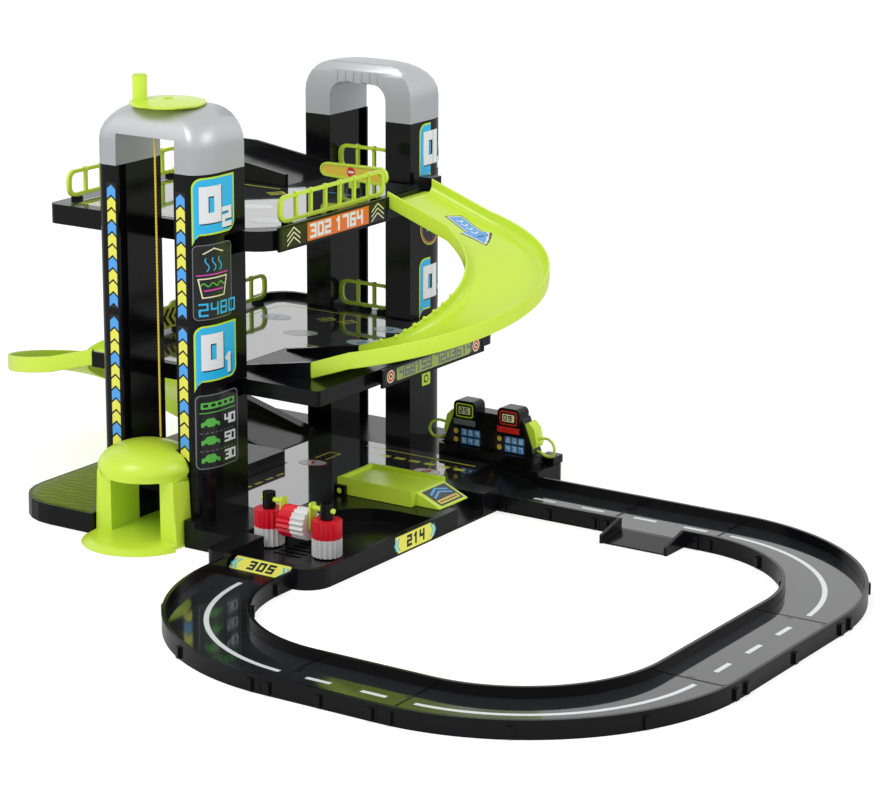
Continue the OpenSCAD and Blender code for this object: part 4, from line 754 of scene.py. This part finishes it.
board = [("grey", 0, box2(3, 0, 42, 58, 4)), ("black", 1, box2(3.9, 0.9, 41.1, 57.1, 3.4)),
         ("green", 2, box2(7, 47, 38, 52, 0.6)), ("green", 2, box2(6, 43.6, 39, 44.3))]
board += [("black", 3, box2(8.5 + 6 * i, 48.4, 12.3 + 6 * i, 50.8, 0.5)) for i in range(5)]
for row, value in enumerate(("4", "5", "3")):
    base_line = 33 - 14 * row
    board += [("green", 2, car_shape(7, base_line, 15, 6.5))]
    board += [("black", 3, oval(x, base_line, 1.4, 1.4, 16)) for x in (10.3, 18.8)]
    board += inked("white", 2, digits(value, 27, base_line - 1, 8, weight=0.2))
    board += inked("white", 2, digits("0", 33, base_line - 1, 8, weight=0.2))
    if row < 2:
        dots = [box2(6 + 4 * i, base_line - 5.2, 8.4 + 4 * i, base_line - 4.6) for i in range(8)]
        board += inked("grey", 2, dots)
board = [(ink, layer, shape * (1, 0.9)) for ink, layer, shape in board]
sticker("price_board", pillar_wrap(52.8), board, WRAP_BENDS)

# a ring of neon lines, and a small lime label under the middle storey, both on the rear right pillar
RINGS = (("black", 14.5), ("lime", 13.6), ("black", 12.9), ("orange", 12.2), ("black", 11.5))
ring = [(ink, layer, oval(27, 15, r, r)) for layer, (ink, r) in enumerate(RINGS)]
ring += inked("cyan", 5, digits("86", 21.5, 12, 8, weight=0.13, step=1.7))
sticker("ring_sign", pillar_wrap(161, rear=True), ring, WRAP_BENDS)
label = [("lime", 0, box2(16, 0, 27, 10, 1)), ("black", 1, oval(21.5, 5, 3.2, 3.2, 24)),
         ("lime", 2, oval(21.5, 5, 2.0, 2.0, 20))]
sticker("lime_label", pillar_wrap(55.5, rear=True), label, WRAP_BENDS)

# %% [markdown]
# The storeys' floors are covered with dark foil that mirrors the room, printed with parking
# bays, ovals and arrows. The foil is one outline inside the kerbs, with the marks on it.

# %% Floors
def floor_plane(z):
    """A level plane at a height: across is x and up is y."""
    return plane((0, 0, z), (1, 0, 0), (0, 1, 0))


def bay_lines(x, y, angle, count=3, gap=4.2, long_=11.0):
    """Parallel strokes that end in a cross stroke, as at the head of a parking bay."""
    lines = [stroke([(x, y + gap * i), (x + long_, y + gap * i)], 1.3)[0] for i in range(count)]
    lines += stroke([(x + long_, y), (x + long_, y + gap * (count - 1))], 1.3)
    return [turned(line, angle, (x, y)) for line in lines]


def floor_oval(x, y, ink, angle=0, rx=13, ry=8.5, value="1"):
    """A white oval with a rim and a digit of one colour, turned about its own middle."""
    shapes = [(ink, 1, oval(x, y, rx, ry)), ("white", 2, oval(x, y, rx - 1.1, ry - 1.1))]
    shapes += inked(ink, 3, digits(value, x - 3, y - 4, 8, weight=0.2))
    return [(i, layer, turned(shape, angle, (x, y))) for i, layer, shape in shapes]


upper = [("mirror", 0, np.array([(-110, -94), (44, -94), (58, -80), (58, 42), (56, 42), (56, 96),
                                 (-19, 96), (-19, 37), (-110, 37)]))]
upper += floor_oval(4, -32, "white", 25, value="2") + floor_oval(41, -66, "white", 25, value="1")
upper += inked("yellow", 1, bay_lines(-12, 9, 55))
upper += [("yellow", 1, box2(-106, -90 + 30 * i, -84, -89 + 30 * i)) for i in range(5)]
upper += [("blue", 1, box2(-12 + 14 * i, 40, -5 + 14 * i, 41.2)) for i in range(5)]
upper += inked("yellow", 1, stroke([(-100, 30), (-20, 30)], 1) + stroke([(-100, -88), (30, -88)], 1))
sticker("upper_floor", floor_plane(212), upper)

middle = [("mirror", 0, np.array([(-50, -94), (20, -94), (20, -18), (104, -18), (104, 96), (-66, 96),
                                  (-70, 92), (-70, -38), (-50, -38)]))]
middle += floor_oval(-42, 54, "cyan", 0, value="1") + floor_oval(56, 25, "cyan", 0, value="2")
middle += floor_oval(50, 68, "cyan", 0, value="3") + floor_oval(2, 24, "white", 20, value="4")
middle += inked("yellow", 1, bay_lines(-6, 62, 60)) + inked("yellow", 1, bay_lines(12, 64, 60))
middle += inked("yellow", 1, stroke([(-62, 20), (-62, 84), (-54, 90), (20, 90)], 1.1))
middle += [("blue", 1, box2(26 + 13 * i, 46, 32 + 13 * i, 47.2)) for i in range(5)]
middle += inked("yellow", 1, stroke([(24, -2), (96, -2)], 1.0))
sticker("middle_floor", floor_plane(109), middle)

ground = [("mirror", 0, np.array([(2, -96), (72, -96), (72, 12), (126, 12), (126, 88), (-20, 88),
                                  (-20, 8), (2, 8)]))]
ground += floor_oval(17, 18, "red", 20, 11, 7.5, "1") + floor_oval(98, 46, "red", 0, 11, 7.5, "2")
ground += inked("yellow", 1, bay_lines(20, 30, 90, count=2, gap=9, long_=18))
ground += [("yellow", 1, box2(46 + 13 * i, 60.6, 54.5 + 13 * i, 65.4)) for i in range(6)]
ground += [("yellow", 1, box2(24, 76, 120, 77.4)), ("yellow", 1, box2(74, 30, 120, 31.4))]
ground += [("yellow", 1, box2(14, -24 - 13 * i, 16.4, -16 - 13 * i)) for i in range(5)]
sticker("ground_floor", floor_plane(14.5), ground)

# %% [markdown]
# Sign boards hang on the storeys' right edges, and the wash has its own yellow signs. Their words
# are left out: plain numbers in the same places, heights and colours take their part.

# %% Sign boards
def triple_chevron(x):
    """Three thin arrow heads above each other."""
    return [("cream", 2, chevron(x, 0.7 + 3.4 * i, 7.5, 5.2, 1.1)) for i in range(3)]


def board_of(node):
    """The face of a sign board inside its rim, as a plane with its size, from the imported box."""
    low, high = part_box(node)
    carry = plane((high.x / MM - 0.6, low.y / MM + 3, low.z / MM + 1.5), (0, 1, 0), (0, 0, 1))
    return carry, (high.y - low.y) / MM - 6, (high.z - low.z) / MM - 3


board_plane, across, tall = board_of("upper_sign")
upper_board = [("black", 0, box2(0, 0, across, tall, 0.8)),
               ("orange", 1, box2(30, 0.6, across - 22, tall - 0.6))]
upper_board += triple_chevron(14) + triple_chevron(across - 11)
for text, x in (("302", 33), ("1764", 63)):
    upper_board += inked("white", 2, digits(text, x, 2, 10.2, weight=0.22, step=1.62))
sticker("upper_board", board_plane, upper_board)

TARGET = (("cream", 4.6, 24), ("red", 3.6, 24), ("cream", 2.2, 20), ("black", 1.2, 16))
board_plane, across, tall = board_of("middle_sign")
middle_board = [("black", 0, box2(0, 0, across, tall, 0.8)),
                ("moss", 1, box2(15, 0.4, across - 15, tall - 0.4, 2.0))]
for text, x in (("468159", 18), ("7203614", 63)):
    middle_board += inked("grey", 2, digits(text, x, 1.4, 8.4, weight=0.2, step=1.55))
for x in (7.5, across - 7.5):
    for layer, (ink, r, n) in enumerate(TARGET):
        middle_board.append((ink, layer + 1, oval(x, tall / 2, r, r, n)))
sticker("middle_board", board_plane, middle_board)

# %% [markdown]
# The barrier's paddle has a shallow face with an amber label and a red round mark. The apron at
# the base's left front is printed with dark waves: each is a sine along x, clipped to the corner's
# circle by its own height.

# %% Barrier face and apron
def arc2(cx, cy, r, a0, a1, n=14):
    """Part of a circle, from one angle to another in degrees."""
    t = np.radians(np.linspace(a0, a1, n))
    return np.column_stack((cx + r * np.cos(t), cy + r * np.sin(t)))


face = np.vstack((arc2(22.5, 0, 4.7, -85, 87), arc2(-24.06, 0.6, 3.15, 91, 272)))
mark_x = -1.9
barrier_prints = [("amber", 0, face), ("red", 1, oval(mark_x, 0.7, 3.7, 3.7, 28)),
                  ("white", 2, box2(mark_x - 2.5, -0.1, mark_x + 2.5, 1.5))]
sticker("barrier_face", plane((32, 48.9, 226.3), (1, 0, 0), (0, 0, 1)), barrier_prints, body="barrier")

def band(x, low_, high_):
    """The outline between two lines over the same x, along the lower and back along the upper one."""
    return np.vstack((np.column_stack((x, low_)), np.column_stack((x, high_))[::-1]))


APRON_R, APRON_X, APRON_Y, APRON_RIGHT = 37.0, -75.0, -130.0, -52.0
LIP_RIGHT, LIP_TOP = -40.0, -152.0
apron = np.vstack((arc2(APRON_X, APRON_Y, APRON_R, 180, 270), [(-38, -167), (-38, -150), (-50, -150),
                                                               (-50, -98), (-62, -70), (-112, -70)]))
apron_prints = [("olive", 0, apron)]
for i, y in enumerate(np.arange(-163.0, -72.0, 6.0)):
    drop = max(0.0, APRON_Y - y)
    left = APRON_X - math.sqrt(APRON_R ** 2 - drop ** 2) + 2.5
    right = LIP_RIGHT if y < LIP_TOP else APRON_RIGHT
    if y > -98:
        right -= (y + 98) * 0.43
    if right - left < 8:
        continue
    x = np.linspace(left, right, max(8, int((right - left) / 1.6)))
    wave = y + 1.2 * np.sin(x * 0.30 + 1.3 * i) + 0.9 * np.sin(x * 0.11 + 2.1 * i)
    apron_prints.append(("black", 1, band(x, wave - 1.0, wave + 1.0)))
sticker("apron_waves", plane((0, 0, 14.5), (1, 0, 0), (0, 1, 0)), apron_prints)

plate_prints = [("yellow", 0, box2(1.2, 1.2, 25.8, 15.1, 0.8))]
arrow_head = chevron(0, 0, 6.4, 5.0, 3.2)
plate_prints += [("black", 1, turned(arrow_head, 90, move=(8.6 + 6.6 * i, 8.1))) for i in range(3)]
sticker("direction_plate", plane((-79.5, -34, 111.7), (0, 1, 0), (0, 0, 1)), plate_prints)

# %% [markdown]
# Next come the small signs of the base, the arrow on the front ramp, the panel on the service
# ramp and the displays of the pump station.

# %% Small signs
def side_chevrons(x, y, angle):
    """Two cyan arrow heads, turned about the foot of the first."""
    return [("cyan", 2, turned(chevron(x, y + 3.2 * i, 4.5, 2.6, 1.5), angle, (x, y))) for i in range(2)]


def cut_strip(t):
    """The exit sign's outline, a strip with cut corners, drawn in by t."""
    return np.array([(4 + t, t), (45 - t, t), (49 - t, 3 + t), (49 - t, 9 - t), (44 - t, 13.2 - t),
                     (t, 13.2 - t), (t, 4 + t)])


# exit sign on the outer wall of the wash bay
exit_shapes = [("black", 0, cut_strip(0)), ("yellow", 1, cut_strip(0.6))]
exit_shapes += side_chevrons(6.5, 6.8, 90) + side_chevrons(43, 6.8, -90)
exit_shapes += inked("black", 2, digits("214", 14.5, 2.6, 8.4, weight=0.24, step=1.8))
sticker("exit_sign", plane((167, -96, 0.9), (0, 1, 0), (0, 0, 1)), exit_shapes)

# wash sign, a leaning plate in front of the entry
wash_shapes = [("black", 0, box2(0, 0, 47, 13.2, 1.5)), ("yellow", 1, box2(0.8, 0.8, 46.2, 12.4, 1.5))]
wash_shapes += side_chevrons(7, 6, 90) + side_chevrons(40, 6, -90)
wash_shapes += inked("black", 2, digits("305", 14, 2.6, 8.0, weight=0.24, step=1.9))
sticker("wash_sign", plane((94.5, -187.5, 4.0), (1, 0, 0), (0, 11.5, 6.5)), wash_shapes)

# arrow on the front ramp: it follows the ramp's bend and fall
def ramp_carry(p):
    """Across is the way along the front ramp's middle line, up is to its left, out is upwards."""
    return (ramp_way(p[:, 0], p[:, 1], p[:, 2], FRONT_RUN, FRONT_BACK, FRONT_Z0, FRONT_Z1) + FRONT_START) * MM


def arrow(x0, x1, half, head, wing):
    """A block arrow along across, from x0 to the tip at x1."""
    neck = x1 - head
    return np.array([(x0, -half), (neck, -half), (neck, -half - wing), (x1, 0), (neck, half + wing),
                     (neck, half), (x0, half)])


ARROW_START = 31.0
arrow_prints = [("black", 0, arrow(0, 47, 9.5, 20, 7.5)), ("white", 1, arrow(1, 45, 8.3, 18.5, 6.5)),
                ("blue", 2, arrow(2.3, 43, 7.0, 17, 5.4))]
small_head = chevron(0, 0, 3.6, 2.6, 1.7)
arrow_prints += [("white", 3, turned(small_head, -90, move=(7 + 6 * i, 0))) for i in range(4)]
ARROW_SIZE, ARROW_TURN, ARROW_SIDE = (0.9, 0.84), -17, 9
arrow_prints = [(ink, layer, turned(shape * ARROW_SIZE, ARROW_TURN, move=(ARROW_START, ARROW_SIDE)))
                for ink, layer, shape in arrow_prints]
sticker("ramp_arrow", ramp_carry, arrow_prints, tuple(ARROW_START + np.arange(3, 46, 3.0)))

# panel on the service ramp's tongue
slope = math.atan2(9.5 - 0.8, 20.0)
tongue = plane((140.0, -25.0, 24.3 - 0.435), (math.cos(slope), 0, -math.sin(slope)), (0, 1, 0))
service = [("black", 0, box2(1, 1, 19, 29, 0.6)), ("amber", 1, box2(13.2, 3, 17.4, 27))]
wide_head = chevron(0, 0, 10.5, 4.2, 1.9)
service += [("blue", 1, turned(wide_head, 90, move=(7.6 + 3.8 * i, 15))) for i in range(2)]
service += [("black", 2, box2(14.4, 5 + 3 * i, 16.2, 6.8 + 3 * i)) for i in range(7)]
sticker("service_panel", tongue, service, body="service_bridge")

# displays and price panels of the pump station
PUMP_FRONT = 97.0
HEAD_FRONT = 94.0
PUMPS = (("left", 89.0, "lime", "grey", "25", ("642", "354")),
         ("right", 127.0, "red", "red", "09", ("437", "258")))
for name, x, frame_ink, top_ink, count, prices in PUMPS:
    head = plane((x, HEAD_FRONT, 36), (1, 0, 0), (0, 0, 1))
    shapes = [(frame_ink, 0, box2(3, 8.5, 18, 19, 2)), ("black", 1, box2(4, 9.5, 17, 18, 1.4)),
              ("cream", 2, box2(5.4, 11, 15.6, 16.6, 0.8))]
    shapes += inked("black", 3, digits(count, 6.4, 11.8, 4.0, weight=0.2, step=1.9))
    shapes += [(top_ink, 0, box2(1.0, 2.6, 20.0, 7.0, 0.5))]
    sticker(f"pump_display_{name}", head, shapes)
    wall = plane((x - 3, PUMP_FRONT, 22.5), (1, 0, 0), (0, 0, 1))
    rows = [("black", 0, box2(0, 0, 27, 13.5, 0.8))]
    for row, value in enumerate(prices):
        y = 6.4 * row
        rows += [("blue", 1, box2(9 + 5.6 * i, 1 + y, 14.1 + 5.6 * i, 6.2 + y, 0.4)) for i in range(3)]
        rows += [("amber", 1, oval(4.2, 3.6 + y, 2.0, 2.0, 18))]
        for i, sign in enumerate(value):
            rows += inked("white", 2, digits(sign, 10.2 + 5.6 * i, 1.9 + y, 3.6, weight=0.2))
    sticker(f"pump_panel_{name}", wall, rows)

# %% [markdown]
# The road tiles carry mirror foil with white dashes on the straights and a solid line on the
# bends. On a bend the print follows the circle, so across is an angle times the radius.

# %% Road markings
ROAD_Z = 4.5
KERB_IN = 25.3
TILE_L, LANE_MID = 83.7, 127.0
FOIL_GAP = 0.4
LINE_HALF = 1.7
SEAM, SEAM_HOOK = 0.9, 3.4


def seam(x, toward):
    """The gap between two tiles, with the dark hooks of their clips: toward is the way into the tile."""
    seam0, seam1 = sorted((x, x + toward * SEAM))
    hook0, hook1 = sorted((x, x + toward * SEAM_HOOK))
    return inked("black", 1, [box2(seam0, -KERB_IN, seam1, KERB_IN), box2(hook0, -11.0, hook1, -6.0),
                              box2(hook0, 14.0, hook1, 19.0)])


def straight_marks(name, origin, along, side, long_, dash=18.0, gap=22.0):
    """Foil over a straight tile, a seam at each end, and as many dashes as fit, centred."""
    end = long_ - FOIL_GAP
    prints = [("asphalt", 0, box2(FOIL_GAP, -KERB_IN, end, KERB_IN))] + seam(FOIL_GAP, 1) + seam(end, -1)
    count = int((long_ - 6 - dash) // (dash + gap)) + 1
    starts = (long_ - count * dash - (count - 1) * gap) / 2 + np.arange(count) * (dash + gap)
    prints += [("white", 1, box2(start, -LINE_HALF, start + dash, LINE_HALF)) for start in starts]
    sticker(name, plane((*origin, ROAD_Z), along, side), prints)


straight_marks("marks_side_straight", (167.7, 61.2), (1, 0, 0), (0, 1, 0), TILE_L - 0.4)
straight_marks("marks_junction", (251.4, 61.2), (1, 0, 0), (0, 1, 0), 80.6)
straight_marks("marks_long_straight", (459.2, -66.0), (0, -1, 0), (1, 0, 0), 134.8)
straight_marks("marks_front_straight", (332.0, -328.0), (-1, 0, 0), (0, -1, 0), TILE_L - 0.4)


def bend_carry(cx, cy, start):
    """Across is the way along the lane's middle from an angle, up is towards the outside."""

    def carry(p):
        angle = math.radians(start) + p[:, 0] / LANE_MID
        r = LANE_MID + p[:, 1]
        return np.column_stack((cx + r * np.cos(angle), cy + r * np.sin(angle), ROAD_Z + p[:, 2])) * MM

    return carry


QUARTER = LANE_MID * math.pi / 2
BENDS = (("back", 332.2, -65.8, 0), ("front_right", 332.2, -201.0, -90), ("front_left", 248.5, -201.0, 180))
for name, cx, cy, start in BENDS:
    ways = np.linspace(0.6, QUARTER - 0.6, 40)
    foil = band(ways, np.full(40, -KERB_IN), np.full(40, KERB_IN))
    line_ways = np.linspace(7, QUARTER - 7, 36)
    line = band(line_ways, np.full(36, -LINE_HALF), np.full(36, LINE_HALF))
    sticker(f"marks_{name}_corner", bend_carry(cx, cy, start),
            [("asphalt", 0, foil), ("white", 1, line)], tuple(np.linspace(2, QUARTER - 2, 48)))

# %% [markdown]
# The lift cord is a thin twisted cord of two strands. It runs straight from the roof of the cab
# to its guide, and when the cab rises its length winds up inside the cap.

# %% Lift cord
def tube_faces(rings, sides, first=0):
    """The walls of a tube that face outwards, and a cap at either end."""
    end = first + rings * sides
    walls = [[a, d, c, b] for a, b, c, d in strip_faces(rings, sides, first)]
    return walls + [list(range(first + sides - 1, first - 1, -1)), list(range(end - sides, end))]


def flexible(name, points, faces, look, node):
    """A smooth piece from places in millimetres that stands for a packed cord or hose."""
    mesh = bpy.data.meshes.new(name)
    mesh.from_pydata((points * MM).tolist(), [], faces)
    mesh.shade_smooth()
    mesh.materials.append(look)
    return new_piece(name, mesh, "garage", node)


def twisted(low_, high_, radius, strands=2, pitch=4.5, sides=8, rings=260):
    """Each strand's middle runs on a helix: radius times cosine and sine of the height over the pitch."""
    half = radius / 2
    z = np.linspace(low_[2], high_[2], rings)
    mesh_points, faces = [], []
    for strand in range(strands):
        turn = 2 * math.pi * (z - z[0]) / pitch + math.pi * 2 * strand / strands
        ring = 2 * math.pi * np.arange(sides) / sides
        x = low_[0] + half * np.cos(turn)[:, None] + half * np.cos(ring)[None]
        y = low_[1] + half * np.sin(turn)[:, None] + half * np.sin(ring)[None]
        mesh_points.append(np.stack((x, y, np.repeat(z[:, None], sides, 1)), -1).reshape(-1, 3))
        faces += tube_faces(rings, sides, strand * rings * sides)
    return np.vstack(mesh_points), faces


cord_look = plastic("cord_fibre", (0.95, 0.70, 0.07), rough=0.5, haze=0.2, grain=0.1, tint=0.05, edge=0.1)
CORD_R = 0.85
low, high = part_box("lift_cord")
cord_foot = ((low.x + high.x) / 2 / MM, (low.y + high.y) / 2 / MM, low.z / MM)
cord_points, cord_faces = twisted(cord_foot, (*cord_foot[:2], high.z / MM), CORD_R)
cord = flexible("twisted_cord", cord_points, cord_faces, cord_look, "lift_cord")
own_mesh(cord)

# %% [markdown]
# The pump hoses are thin limp tubes that leave the nozzles, hang in a loop beside the station and
# go back into its foot. A few chosen points give the loop, and a smooth curve runs through them.

# %% Pump hoses
HOSE_D = 2.0
HOSE_MIDDLE = (118.5, 104.0)
HOSE_LEFT = (-41.5, 0, 0)
HOSE_ROUTE = np.array([(6.5, 0, 35), (4.5, 0, 35), (2, 0, 35), (-2, -0.5, 36.2), (-7, -1.5, 36.4),
                       (-11.5, -2.5, 33.5), (-12.8, -3, 28.5), (-10, -2.5, 24.4), (-5, -1.5, 23.6),
                       (-0.5, -0.5, 25), (3, 0, 25.5), (6, 0, 25.5), (9, 0, 25.5)], float) + HOSE_LEFT


def smooth_line(points, per_span=6):
    """Catmull-Rom: each span leaves and meets its ends along the line between their neighbours."""
    ends = np.vstack((2 * points[0] - points[1], points, 2 * points[-1] - points[-2]))
    t = np.linspace(0, 1, per_span, endpoint=False)[:, None, None]
    a, b, c, d = ends[:-3], ends[1:-2], ends[2:-1], ends[3:]
    line = 0.5 * (2 * b + (c - a) * t + (2 * a - 5 * b + 4 * c - d) * t ** 2 + (3 * b - a - 3 * c + d) * t ** 3)
    return np.vstack((line.transpose(1, 0, 2).reshape(-1, 3), points[-1:]))


def tube(line, diameter, sides=12):
    """A ring of points round every point of the line, square to the line there."""
    along = np.gradient(line, axis=0)
    along /= np.linalg.norm(along, axis=1)[:, None]
    across = np.cross(along, (0, 1, 0.05))
    across /= np.linalg.norm(across, axis=1)[:, None]
    third = np.cross(along, across)
    ring = 2 * math.pi * np.arange(sides) / sides
    c, s = np.cos(ring)[None, :, None], np.sin(ring)[None, :, None]
    points = line[:, None] + diameter / 2 * (c * across[:, None] + s * third[:, None])
    return points.reshape(-1, 3), tube_faces(len(line), sides)


for name, side in (("left", 1), ("right", -1)):
    line = smooth_line(HOSE_ROUTE * (side, 1, 1) + (*HOSE_MIDDLE, 0))
    hose = flexible(f"hose_{name}", *tube(line, HOSE_D), looks["lime"], f"pump_hose_{name}")
